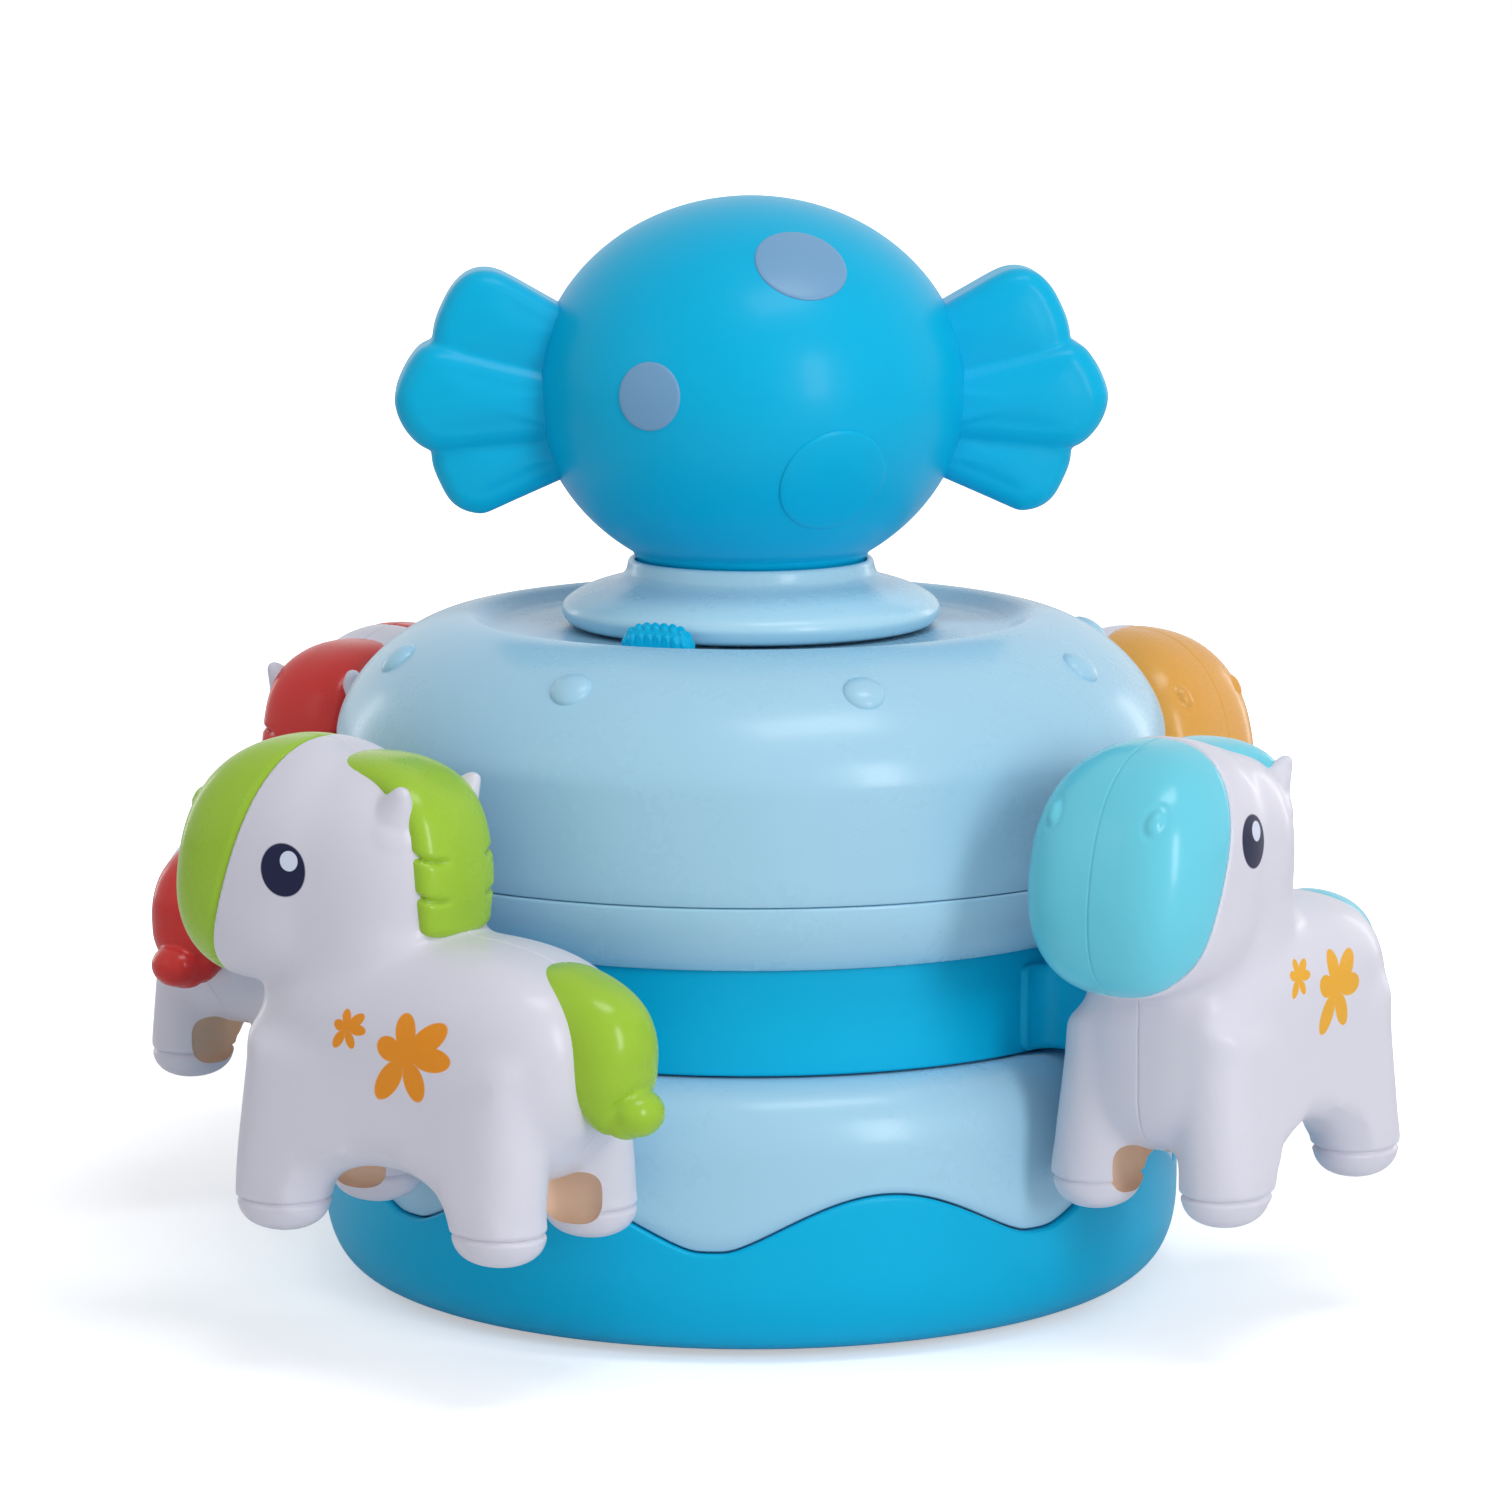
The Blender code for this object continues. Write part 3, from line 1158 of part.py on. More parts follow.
def pony_form():
    """The whole pony as one skin: soft body, neck, head and legs first, then its hooves and ears."""
    bm = bmesh.new()
    body_size = (body_length, 2 * pony_half_width + 1.0 * mm, body_height)
    centred(bm, body_middle, body_rise, body_size, 3.2, 2.7)
    centred(bm, neck_middle, neck_rise, neck_size, 2.8, 2.4)
    centred(bm, head_middle, head_rise, head_size, 2.6, 2.3)
    centred(bm, muzzle_middle, muzzle_rise, muzzle_size, 3.5, 2.1, muzzle_lean)
    foot = leg_radius
    for along in (front_leg, rear_leg):
        for side in (-1, 1):
            for k in range(6):
                share = k / 5
                draw = leg_draw * share ** 1.5
                spot = pony_spot(along - draw if along > 0 else along + 0.5 * draw, side * (leg_side - draw),
                                 foot + (leg_top - foot) * share)
                rounded_form(bm, spot, (leg_radius, leg_radius, 1.2 * leg_radius), 2.2, 2.0, 0, 16, 10)
    soft = fused("pony_soft", to_mesh(bm, "pony_soft"), pony_soften)
    bm = bmesh.new()
    bm.from_mesh(baked(soft, "pony_soft_skin"))
    for along in (front_leg, rear_leg):
        for side in (-1, 1):
            spot = pony_spot(along, side * leg_side, hoof_depth)
            rounded_form(bm, spot, (hoof_radius, hoof_radius, hoof_depth), 2.0, 2.4, 0, 20, 10)
    for side in (-1, 1):
        for k in range(6):
            share = k / 5
            size = ear_radius + (ear_tip_radius - ear_radius) * share ** 0.8
            spot = pony_spot(-1.0 * mm - 2.0 * mm * share, side * (ear_side + 0.7 * mm * share),
                             ear_foot + (ear_tip - ear_foot) * share)
            rounded_form(bm, spot, (size, 0.85 * size, size), 2.0, 2.0, 0, 12, 8)
    whole = fused("pony_form", to_mesh(bm, "pony_whole"), 3)
    fewer = whole.modifiers.new("fewer", "DECIMATE")
    fewer.ratio = pony_keep
    return baked(whole, "pony_form")


def pony_part(name, form, finish, steps):
    """Cuts one piece out of the whole pony form and gives its mesh."""
    made = bpy.data.objects.new(name + "_master", form.copy())
    bpy.context.scene.collection.objects.link(made)
    made.hide_render = True
    made.display_type = "WIRE"
    for operation, bm, label in steps:
        combine(made, bm, operation, label)
    return baked(made, name)


def ponies():
    form = pony_form()
    far = 3 * (pony_orbit + body_length)
    mane = in_metres(mane_line, mane_half_width, mane_half_thickness)
    tail = in_metres(tail_line, tail_half_width, tail_half_thickness)

    def ahead_of(gap):
        bm = bmesh.new()
        block(bm, (0, -far, -far), (far, far, far), seam_frame(gap))
        return bm

    def tenon(grow):
        bm = bmesh.new()
        rise = cos(seam_lean) * head_rise - sin(seam_lean) * head_middle
        frame = seam_frame(0.0) @ Matrix.Translation((0, 0, rise))
        middle = frame @ Vector((0.5 * mm - muzzle_tenon_length / 2 - grow / 2, 0, 0))
        cross_rod(bm, middle, frame.to_3x3() @ Vector((1, 0, 0)), muzzle_tenon_length + mm + grow,
                  muzzle_tenon_radius + grow, 6)
        return bm

    def half_steps(way):
        keep = bmesh.new()
        sides = sorted((pony_orbit + way * seat_gap / 2, pony_orbit + way * far))
        block(keep, (-far, sides[0], -far), (far, sides[1], far))
        cuts = [("INTERSECT", keep, "half"), ("DIFFERENCE", ahead_of(-seat_gap), "muzzle_split")]
        for stations, label in ((mane, "mane_slot"), (tail, "tail_slot")):
            slot = bmesh.new()
            sausage(slot, stations, 1.4 * seat_gap)
            cuts.append(("DIFFERENCE", slot, label))
        trunk = bmesh.new()
        hollow = (body_length - 3 * leg_radius, 2 * (pony_half_width - pony_shell),
                  body_height - 3 * pony_shell)
        centred(trunk, 0, body_rise, hollow, 2.4, 2.2, 0.0, (6, 4))
        cuts.append(("DIFFERENCE", trunk, "trunk_hollow"))
        pockets = bmesh.new()
        for along in (front_leg, rear_leg):
            spot = pony_spot(along, way * (leg_side - leg_radius), pocket_rise)
            rounded_form(pockets, spot, [value / 2 for value in pocket_size], 2.4, 2.4, 0, 6, 4)
        cuts.append(("DIFFERENCE", pockets, "leg_pockets"))
        cuts.append(("DIFFERENCE", tenon(seat_gap), "tenon_seat"))
        if way < 0:
            flank = pony_orbit - pony_half_width
            seat = bmesh.new()
            wide = arm_width / 2 + seat_gap
            tall = arm_height / 2 + seat_gap
            block(seat, (-wide, flank - leg_radius, arm_middle - tall), (wide, flank, arm_middle + tall))
            cuts.append(("DIFFERENCE", seat, "arm_seat"))
            boss = bmesh.new()
            cross_rod(boss, (0, (flank + pony_orbit) / 2, arm_middle), (0, 1, 0), pony_half_width - 2 * mm,
                      peg_radius + seat_gap + pony_shell, 6)
            cuts.append(("UNION", boss, "peg_boss"))
            bore = bmesh.new()
            cross_rod(bore, (0, flank - mm + peg_depth / 2, arm_middle), (0, 1, 0), peg_depth + 2 * mm,
                      peg_radius + seat_gap, 8)
            cuts.append(("DIFFERENCE", bore, "peg_bore"))
        return cuts

    meshes = {
        "outer_half": pony_part("pony_outer_half", form, "pony_white", half_steps(1)),
        "inner_half": pony_part("pony_inner_half", form, "pony_white", half_steps(-1)),
        "muzzle": pony_part("pony_muzzle", form, "green", [("INTERSECT", ahead_of(0.0), "muzzle"),
                                                            ("UNION", tenon(0.0), "tenon")]),
    }
    for label, stations in (("mane", mane), ("tail", tail)):
        bm = bmesh.new()
        sausage(bm, stations)
        meshes[label] = to_mesh(bm, "pony_" + label)
    colours = (("green", "green"), ("blue", "sky"), ("orange", "orange"), ("red", "red"))
    for k, (colour, finish) in enumerate(colours):
        angle = pony_first_angle + 2 * pi * k / pony_count
        station = bpy.data.objects.new(f"{colour}_pony_station", None)
        bpy.context.scene.collection.objects.link(station)
        station.rotation_euler = (0, 0, angle + pi)
        for label, mesh in meshes.items():
            own = mesh.copy()
            look = "pony_white" if "half" in label else finish
            place(f"{colour}_pony_{label}", own, look).parent = station


base_bowl()
base_plate()
battery_door()
button_cells()
speaker()
foot_and_screws()
icing_cover()
column()
gears()
drum()
roof()
collar()
switch_and_board()
knob()
ponies()
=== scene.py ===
import json
from math import acos, asin, pi, radians

import bmesh
import bpy
import numpy as np
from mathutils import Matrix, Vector


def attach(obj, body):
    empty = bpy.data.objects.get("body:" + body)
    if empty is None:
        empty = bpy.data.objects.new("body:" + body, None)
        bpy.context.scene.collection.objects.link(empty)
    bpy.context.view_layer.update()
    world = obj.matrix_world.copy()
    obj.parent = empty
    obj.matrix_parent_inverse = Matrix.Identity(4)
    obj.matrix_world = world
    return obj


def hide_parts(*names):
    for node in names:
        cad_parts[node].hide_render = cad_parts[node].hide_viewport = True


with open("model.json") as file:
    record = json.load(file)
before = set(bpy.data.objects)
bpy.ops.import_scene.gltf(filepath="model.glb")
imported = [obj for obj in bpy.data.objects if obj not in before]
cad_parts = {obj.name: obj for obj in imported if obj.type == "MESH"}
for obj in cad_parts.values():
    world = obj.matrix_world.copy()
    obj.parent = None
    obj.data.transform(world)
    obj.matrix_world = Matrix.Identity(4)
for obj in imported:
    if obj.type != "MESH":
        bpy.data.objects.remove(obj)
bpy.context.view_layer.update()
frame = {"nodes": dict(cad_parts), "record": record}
print("stage: frame loaded")

# Sizes are in millimetres; the bowl's lower edge stands this high, on the rubber ring
mm = 0.001
ground = 1.0
scene = bpy.context.scene


# A mesh from an array of points in millimetres and one of four-sided faces, made in one go
def quadMesh(points, faces):
    mesh = bpy.data.meshes.new("quads")
    points = np.asarray(points, dtype=np.float64) * mm
    faces = np.asarray(faces, dtype=np.int32)
    mesh.vertices.add(len(points))
    mesh.vertices.foreach_set("co", points.ravel())
    mesh.loops.add(faces.size)
    mesh.loops.foreach_set("vertex_index", faces.ravel())
    mesh.polygons.add(len(faces))
    mesh.polygons.foreach_set("loop_start", np.arange(len(faces)) * 4)
    mesh.polygons.foreach_set("loop_total", np.full(len(faces), 4))
    mesh.update(calc_edges=True)
    return mesh


# Joins points that coincide, such as those at a pole, and turns all faces outward
def tidied(mesh):
    bm = bmesh.new()
    bm.from_mesh(mesh)
    bmesh.ops.remove_doubles(bm, verts=bm.verts, dist=0.01 * mm)
    bmesh.ops.recalc_face_normals(bm, faces=bm.faces)
    bm.to_mesh(mesh)
    bm.free()
    mesh.shade_smooth()
    return mesh


def addObject(name, mesh, material):
    made = bpy.data.objects.new(name, mesh)
    scene.collection.objects.link(made)
    if material is not None:
        mesh.materials.clear()
        mesh.materials.append(material)
    return made


# A finished piece on its body, in place of the nodes that it stands for
def addPiece(name, mesh, material, body, slotName, *nodes):
    made = addObject(name, mesh, material)
    if nodes:
        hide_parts(*nodes)
    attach(made, body)


# Faces of a grid of rows by columns, wrapped round in either direction or not
def gridFaces(rows, columns, wrapRows=False, wrapColumns=True):
    index = np.arange(rows * columns).reshape(rows, columns)
    index = np.pad(index, ((0, int(wrapRows)), (0, int(wrapColumns))), "wrap")
    return np.stack([index[:-1, :-1], index[:-1, 1:], index[1:, 1:], index[1:, :-1]], axis=-1).reshape(-1, 4)


# Equal steps round a full turn
def fullTurn(steps):
    return np.arange(steps) * 2 * pi / steps


def unit(way):
    return way / np.linalg.norm(way, axis=-1, keepdims=True)


# Rows of x, y and z from arrays that spread over one another
def spread(x, y, z):
    return np.stack(np.broadcast_arrays(x, y, z), axis=-1).reshape(-1, 3)


# A turned form: each (radius, height) of a closed outline goes round Z in equal steps. A height may be a
# row with one value for each step
def turned(outline, steps):
    angle = fullTurn(steps)
    radius = np.array([[r] for r, z in outline])
    height = np.array([np.broadcast_to(z, steps) for r, z in outline])
    points = spread(radius * np.cos(angle), radius * np.sin(angle), height)
    return tidied(quadMesh(points, gridFaces(len(outline), steps, True)))


# Turns points round Z by an angle
def spun(points, angle):
    c, s = np.cos(angle), np.sin(angle)
    return points @ np.array([[c, s, 0], [-s, c, 0], [0, 0, 1]])


# Replaces each right-angled corner (x, y, radius) of a closed outline by a quarter circle, with a point
# beyond each end that keeps the flats flat under smooth shading
def filleted(corners, count=6, beyond=1.08):
    turn = np.linspace(0, pi / 2, count + 1)[:, None]
    points = []
    for i, (x, y, radius) in enumerate(corners):
        here = np.array((x, y))
        ways = [np.array(corners[k % len(corners)][:2]) - here for k in (i - 1, i + 1)]
        toBefore, toAfter = [unit(way) * radius for way in ways]
        arc = here + toBefore * (1 - np.sin(turn)) + toAfter * (1 - np.cos(turn))
        points += [here + toBefore * beyond, *arc, here + toAfter * beyond] if radius else [here]
    return points


# A smooth line through given points: each stretch is a cubic whose slopes come from its neighbours
def smoothLine(points, count):
    points = np.asarray(points, dtype=float)
    before = np.vstack([2 * points[0] - points[1], points[:-1]])
    after = np.vstack([points[1:], 2 * points[-1] - points[-2]])
    slope = (after - before) / 2
    out = []
    for k in range(len(points) - 1):
        t = np.linspace(0, 1, count, endpoint=False)[:, None]
        a, b = points[k], points[k + 1]
        out.append((2 * t ** 3 - 3 * t ** 2 + 1) * a + (t ** 3 - 2 * t ** 2 + t) * slope[k]
                   + (3 * t ** 2 - 2 * t ** 3) * b + (t ** 3 - t ** 2) * slope[k + 1])
    out.append(points[-1:])
    return np.vstack(out)


# Quarter of a superellipse from (wide, 0) up to (0, high); a power of 2 is an ellipse and more is squarer
def quarter(wide, high, power, count):
    t = np.linspace(0, pi / 2, count + 1)
    return [(wide * max(np.cos(a), 0) ** (2 / power), high * max(np.sin(a), 0) ** (2 / power)) for a in t]


# A node group whose inputs are colours or numbers, as their first values are
def newGroup(name, inputs, outputs):
    group = bpy.data.node_groups.new(name, "ShaderNodeTree")
    for label, value in inputs.items():
        kind = "NodeSocketFloat" if isinstance(value, float) else "NodeSocketColor"
        group.interface.new_socket(name=label, in_out="INPUT", socket_type=kind).default_value = value
    for label, kind in outputs.items():
        group.interface.new_socket(name=label, in_out="OUTPUT", socket_type="NodeSocket" + kind)
    return group, group.nodes.new("NodeGroupInput"), group.nodes.new("NodeGroupOutput")


def newNode(tree, kind, **settings):
    node = tree.nodes.new("ShaderNode" + kind)
    for label, value in settings.items():
        setattr(node, label, value)
    return node


# Fills inputs of a node, by name or number, with values or from outputs of other nodes
def setInputs(node, values):
    for label, value in values.items():
        if isinstance(value, bpy.types.NodeSocket):
            node.id_data.links.new(value, node.inputs[label])
        else:
            node.inputs[label].default_value = value


def mathNode(tree, operation, *values, clamp=False):
    node = newNode(tree, "Math", operation=operation, use_clamp=clamp)
    setInputs(node, dict(enumerate(values)))
    return node.outputs[0]


# A screen colour as a shader takes it
def linear(colour):
    return [v / 12.92 if v <= 0.04045 else ((v + 0.055) / 1.055) ** 2.4 for v in colour] + [1]


def noiseNode(tree, place, values):
    node = newNode(tree, "TexNoise")
    setInputs(node, {**values, "Vector": place.outputs["Object"]})
    return node.outputs["Fac"]


# Moulded plastic's skin: a colour that drifts over a few centimetres, an uneven gloss, and a faint ripple
# with fine handling marks
def skinGroup(wideGloss=0.10, fineGloss=0.05, leastRoughness=0.05, fineHeight=0.04, depth=0.4 * mm):
    group, given, result = newGroup(
        "mouldedSkin", {"Colour": (0.8, 0.8, 0.8, 1), "Roughness": 0.3, "Drift": 0.04, "Ripple": 0.05},
        {"Colour": "Color", "Roughness": "Float", "Normal": "Vector"})
    place = newNode(group, "TexCoord")
    wide = noiseNode(group, place, {"Scale": 34, "Detail": 3})
    fine = noiseNode(group, place, {"Scale": 420, "Detail": 4, "Roughness": 0.65})
    centred = mathNode(group, "SUBTRACT", wide, 0.5)
    tint = newNode(group, "VectorMath", operation="SCALE")
    setInputs(tint, {0: given.outputs["Colour"],
                     "Scale": mathNode(group, "MULTIPLY_ADD", centred, given.outputs["Drift"], 1.0)})
    uneven = mathNode(group, "MULTIPLY_ADD", mathNode(group, "SUBTRACT", fine, 0.5), fineGloss,
                      mathNode(group, "MULTIPLY_ADD", centred, wideGloss, given.outputs["Roughness"]))
    relief = newNode(group, "Bump")
    setInputs(relief, {"Distance": depth, "Strength": given.outputs["Ripple"],
                       "Height": mathNode(group, "MULTIPLY_ADD", fine, fineHeight, wide)})
    setInputs(result, {"Colour": tint.outputs[0], "Normal": relief.outputs["Normal"],
                       "Roughness": mathNode(group, "MAXIMUM", uneven, leastRoughness)})
    return group


skin = skinGroup()


# A Principled material fed by the moulded skin; overlay(tree, colour) may paint over the colour
def plastic(name, colour, roughness, coat=0.0, subsurface=0.0, metallic=0.0, drift=0.05, ripple=0.06,
            shine=0.28, overlay=None):
    made = bpy.data.materials.new(name)
    made.use_nodes = True
    tree = made.node_tree
    shader = tree.nodes["Principled BSDF"]
    effect = newNode(tree, "Group", node_tree=skin)
    setInputs(effect, {"Colour": linear(colour), "Roughness": roughness, "Drift": drift, "Ripple": ripple})
    painted = effect.outputs["Colour"]
    if overlay is not None:
        painted = overlay(tree, painted)
    setInputs(shader, {"Base Color": painted, "Roughness": effect.outputs["Roughness"],
                       "Normal": effect.outputs["Normal"],
                       "Metallic": metallic, "IOR": 1.48, "Specular IOR Level": 0.5 if metallic else shine,
                       "Coat Weight": coat, "Coat Roughness": 0.12, "Subsurface Weight": subsurface,
                       "Subsurface Radius": (1.0, 0.8, 0.7), "Subsurface Scale": 2 * mm})
    return made


deepBlue = plastic("deepBlue", (0.00, 0.705, 0.88), 0.34, coat=0.03, shine=0.14)
bandBlue = plastic("bandBlue", (0.00, 0.715, 0.89), 0.36, shine=0.14)
paleBlue = plastic("paleBlue", (0.65, 0.83, 0.92), 0.28, coat=0.10, drift=0.03, ripple=0.03)
# A lighter copy of the roof's pale blue for the collar, which is the same plastic: painted light standing in
# for the light that falls on it
collarLitPaleBlue = plastic("collarLitPaleBlue", (0.72, 0.885, 0.95), 0.28, coat=0.10, drift=0.03, ripple=0.03)
# Paler blue for two of the ball's raised discs, whose plastic is the ball's deep blue: a painted reflection
# of the lamps on their flat tops
discReflectionBlue = plastic("discReflectionBlue", (0.46, 0.64, 0.79), 0.32, drift=0.03)
beige = plastic("beige", (0.93, 0.81, 0.71), 0.55, drift=0.10)
print("stage: materials")

wave = {"count": 8, "crest": radians(-72.6), "trough": ground + 16.8, "rise": 9.6, "round": 0.0009,
        "power": 0.7}


# The bowl's upper edge: a cosine between trough and crest, its share raised to 0.7 for broad crests,
# with a small value under the power that rounds the troughs
def waveHeight(steps):
    swing = 0.5 + 0.5 * np.cos(wave["count"] * (fullTurn(steps) - wave["crest"]))
    share = ((swing ** 2 + wave["round"]) / (1 + wave["round"])) ** (wave["power"] / 2)
    return wave["trough"] + wave["rise"] * share


bowl = {"steps": 720, "radius": 73.0, "inside": 70.9, "filletWide": 10.5, "filletHigh": 14.8, "power": 2.45,
        "edge": 0.7, "rows": 7, "foot": [(57.4, ground), (60.0, ground)], "floor": [(66.0, 6.3), (57.4, 6.3)]}


def buildBowl():
    wavy = waveHeight(bowl["steps"])
    low = ground + bowl["filletHigh"]
    edge, inside = bowl["edge"], bowl["inside"]
    corner = quarter(bowl["filletWide"], bowl["filletHigh"], bowl["power"], 20)
    outline = bowl["foot"] + [(bowl["radius"] - bowl["filletWide"] + a, low - b) for a, b in reversed(corner)]
    for share in np.linspace(0, 1, bowl["rows"])[1:]:
        outline.append((bowl["radius"], low + (wavy - edge - low) * share))
    for t in np.linspace(0, pi / 2, 6)[1:]:
        outline.append((bowl["radius"] - edge * (1 - np.cos(t)), wavy - edge + edge * np.sin(t)))
    outline += [(inside + 0.3, wavy), (inside, wavy - 0.2), (inside, wavy - 1.2), (inside, low)]
    outline += bowl["floor"]
    addPiece("bowlShell", turned(outline, bowl["steps"]), deepBlue, "toy_base", "deep_blue", "base_bowl")


icing = {"steps": 720, "radius": 72.2, "wide": 9.3, "start": ground + 32.0, "top": ground + 44.1,
         "power": 2.15, "gap": 0.3, "edge": 0.3, "skirt": [(68.2, 16.2), (70.3, 16.2)],
         "inner": [(60.0, ground + 44.1), (16.2, ground + 44.1), (16.2, ground + 42.0), (62.0, ground + 42.0),
                   (68.2, 33.0)]}


# The cover's drips end a small gap over the bowl's edge, and its skirt stands inside the bowl
def buildIcing():
    wavy = waveHeight(icing["steps"]) + icing["gap"]
    radius, edge, high = icing["radius"], icing["edge"], icing["start"]
    outline = icing["skirt"] + [(icing["skirt"][1][0], wavy), (radius - edge, wavy), (radius, wavy + edge)]
    for share in np.linspace(0, 1, 6)[1:-1]:
        outline.append((radius, wavy + edge + (high - wavy - edge) * share))
    shoulder = quarter(icing["wide"], icing["top"] - high, icing["power"], 24)
    outline += [(radius - icing["wide"] + a, high + b) for a, b in shoulder] + icing["inner"]
    addPiece("icingShell", turned(outline, icing["steps"]), paleBlue, "toy_base", "pale_blue", "icing_cover")


buildBowl()
buildIcing()
print("stage: base")

drum = {"radius": 62.9, "inside": 60.7, "low": 45.45, "high": 63.0, "steps": 360, "hubSteps": 96}
drumLine = [(drum["inside"], drum["low"], 0.2), (drum["radius"], drum["low"], 0.5),
            (drum["radius"], drum["high"], 0.5), (drum["inside"], drum["high"], 0.2)]
hubLine = [(9.6, 29.7, 0.2), (13.0, 29.7, 0.2), (13.0, 52.0, 0), (61.0, 52.0, 0), (61.0, 54.2, 0),
           (13.0, 54.2, 0), (13.0, 63.0, 0.2), (9.6, 63.0, 0.2)]
arm = {"half": 8.0, "fillet": 4.0, "low": 45.95, "high": 60.1, "reach": 75.1, "round": 1.3, "sunk": 1.6,
       "root": drum["radius"] + 0.1, "count": 7}
ponyAngles = [radians(-34.7 + 90 * k) for k in range(4)]


def buildDrum():
    band = turned(filleted(drumLine), drum["steps"])
    addPiece("drumBand", band, bandBlue, "pony_rotor", "deep_blue", "pony_drum")
    hub = turned(filleted(hubLine), drum["hubSteps"])
    addPiece("drumHub", hub, bandBlue, "pony_rotor", "deep_blue")


# The arms: rounded oblong sections stand along the length, and their half width swells in a concave
# quarter circle where the arm leaves the band
def buildArms():
    fillet, corner = arm["fillet"], arm["round"]
    curve = arm["root"] + fillet * (1 - np.cos(np.linspace(0, pi / 2, 12)))
    straight = np.linspace(drum["radius"] + fillet + 1.0, arm["reach"], 6)
    along = np.concatenate([[drum["radius"] - arm["sunk"]], curve, straight])
    fromBand = np.clip((arm["root"] + fillet - along) / fillet, 0, 1)
    half = arm["half"] + fillet * (1 - np.sqrt(1 - fromBand ** 2))
    tall = (arm["high"] - arm["low"]) / 2
    middle = (arm["high"] + arm["low"]) / 2
    count = arm["count"]
    angle = np.concatenate([np.linspace(k, k + 1, count) for k in range(4)]) * pi / 2
    y = np.repeat((1, -1, -1, 1), count) * (half[:, None] - corner) + corner * np.cos(angle)
    z = np.repeat((1, 1, -1, -1), count) * (tall - corner) + corner * np.sin(angle) + middle
    points = spread(along[:, None], y, z)
    faces = gridFaces(len(along), 4 * count)
    for k, phi in enumerate(ponyAngles):
        mesh = tidied(quadMesh(spun(points, phi - pi / 2), faces))
        addPiece(f"drumArm{k + 1}", mesh, bandBlue, "pony_rotor", "deep_blue")


buildDrum()
buildArms()

roof = {"rim": 69.6, "seam": 73.9, "gap": 0.15, "shoulderRadius": 70.2, "shoulder": 92.5,
        "ridgeRadius": 48.2, "ridge": 112.4, "power": 1.69, "steps": 480, "rimCurve": 12.6,
        "rimInside": 63.6, "rimChamfer": 0.35,
        "slope": [(48.2, 112.4), (46.9, 112.05), (45.4, 111.1), (43.8, 110.25), (42.0, 110.0)],
        "inner": [(5.2, 110.0), (5.2, 107.8), (46.0, 107.8), (60.0, 101.0), (67.5, 92.0), (67.4, 74.2)],
        "rimLow": [(63.6, 63.6), (63.75, 62.9)],
        "rimInner": [(67.1, 73.9), (67.1, 76.4), (65.3, 76.4), (65.3, 71.2), (53.6, 71.2), (53.6, 69.0),
                     (63.6, 69.0)]}


# The roof's outer line from its seam up to the dish floor, as (radius, height)
def roofLine():
    rim, chamfer, seam = roof["rim"], roof["rimChamfer"], roof["seam"] + roof["gap"]
    points = [(rim - chamfer, seam), (rim - 0.1, seam + 0.1), (rim, seam + chamfer)]
    for share in np.linspace(0, 1, 8)[1:]:
        points.append((rim + (roof["shoulderRadius"] - rim) * np.sin(share * pi / 2),
                       seam + chamfer + (roof["shoulder"] - seam - chamfer) * share))
    wide = roof["shoulderRadius"] - roof["ridgeRadius"]
    dome = quarter(wide, roof["ridge"] - roof["shoulder"], roof["power"], 40)
    points += [(roof["ridgeRadius"] + a, roof["shoulder"] + b) for a, b in dome[1:]]
    return points + [tuple(p) for p in smoothLine(roof["slope"], 5)[1:]]


# The shell over the seam, and the rim below it, whose outside is an arc up to the seam's chamfer
def buildRoof():
    shell = turned(roofLine() + roof["inner"], roof["steps"])
    addPiece("roofShell", shell, paleBlue, "toy_base", "pale_blue", "roof_shell")
    radius, seam, curve = roof["rim"], roof["seam"], roof["rimCurve"]
    centre = radius - curve
    start = asin((roof["rimInside"] - centre) / curve)
    arc = [(centre + curve * np.sin(t), seam - 0.6 - curve * np.cos(t))
           for t in np.linspace(start, pi / 2, 20)[1:]]
    outline = roof["rimLow"] + arc + [(radius, seam - 0.3), (radius - 0.1, seam - 0.1),
                                      (radius - roof["rimChamfer"], seam)] + roof["rimInner"]
    addPiece("roofRim", turned(outline, roof["steps"]), paleBlue, "toy_base", "pale_blue", "roof_rim")


bump = {"count": 8, "first": radians(-72.9), "place": 61.3, "above": 95, "radius": 3.5, "rise": 1.35,
        "power": 2.2, "sunk": 0.06, "rings": 22, "steps": 48}


# Bumps on the dome: points on a polar grid are laid on the roof by their distance along its outline and
# round it, then lifted along its normal by a rounded step
def buildBumps():
    line = np.asarray(roofLine())
    lengths = np.concatenate([[0], np.cumsum(np.linalg.norm(np.diff(line, axis=0), axis=1))])
    nearest = np.argmin(np.abs(line[:, 0] - bump["place"]) + 1000 * (line[:, 1] < bump["above"]))
    rho, around = np.meshgrid(np.linspace(0, 1, bump["rings"]), fullTurn(bump["steps"]), indexing="ij")
    spot = lengths[nearest] + rho * bump["radius"] * np.sin(around)

    def onLine(distance):
        return np.array([np.interp(distance, lengths, line[:, k]) for k in (0, 1)])

    radius, height = onLine(spot)
    slope = onLine(spot + 0.3) - onLine(spot - 0.3)
    slope = slope / np.hypot(*slope)
    lift = bump["rise"] * np.clip(1 - rho ** bump["power"], 0, 1) ** 0.6 - bump["sunk"] * rho ** 8
    out, up = radius + lift * slope[1], height - lift * slope[0]
    faces = gridFaces(bump["rings"], bump["steps"])
    for k in range(bump["count"]):
        theta = bump["first"] + 2 * pi * k / bump["count"] + rho * bump["radius"] * np.cos(around) / radius
        points = spread(out * np.cos(theta), out * np.sin(theta), up)
        addPiece(f"roofBump{k + 1}", tidied(quadMesh(points, faces)), paleBlue, "toy_base", "pale_blue")


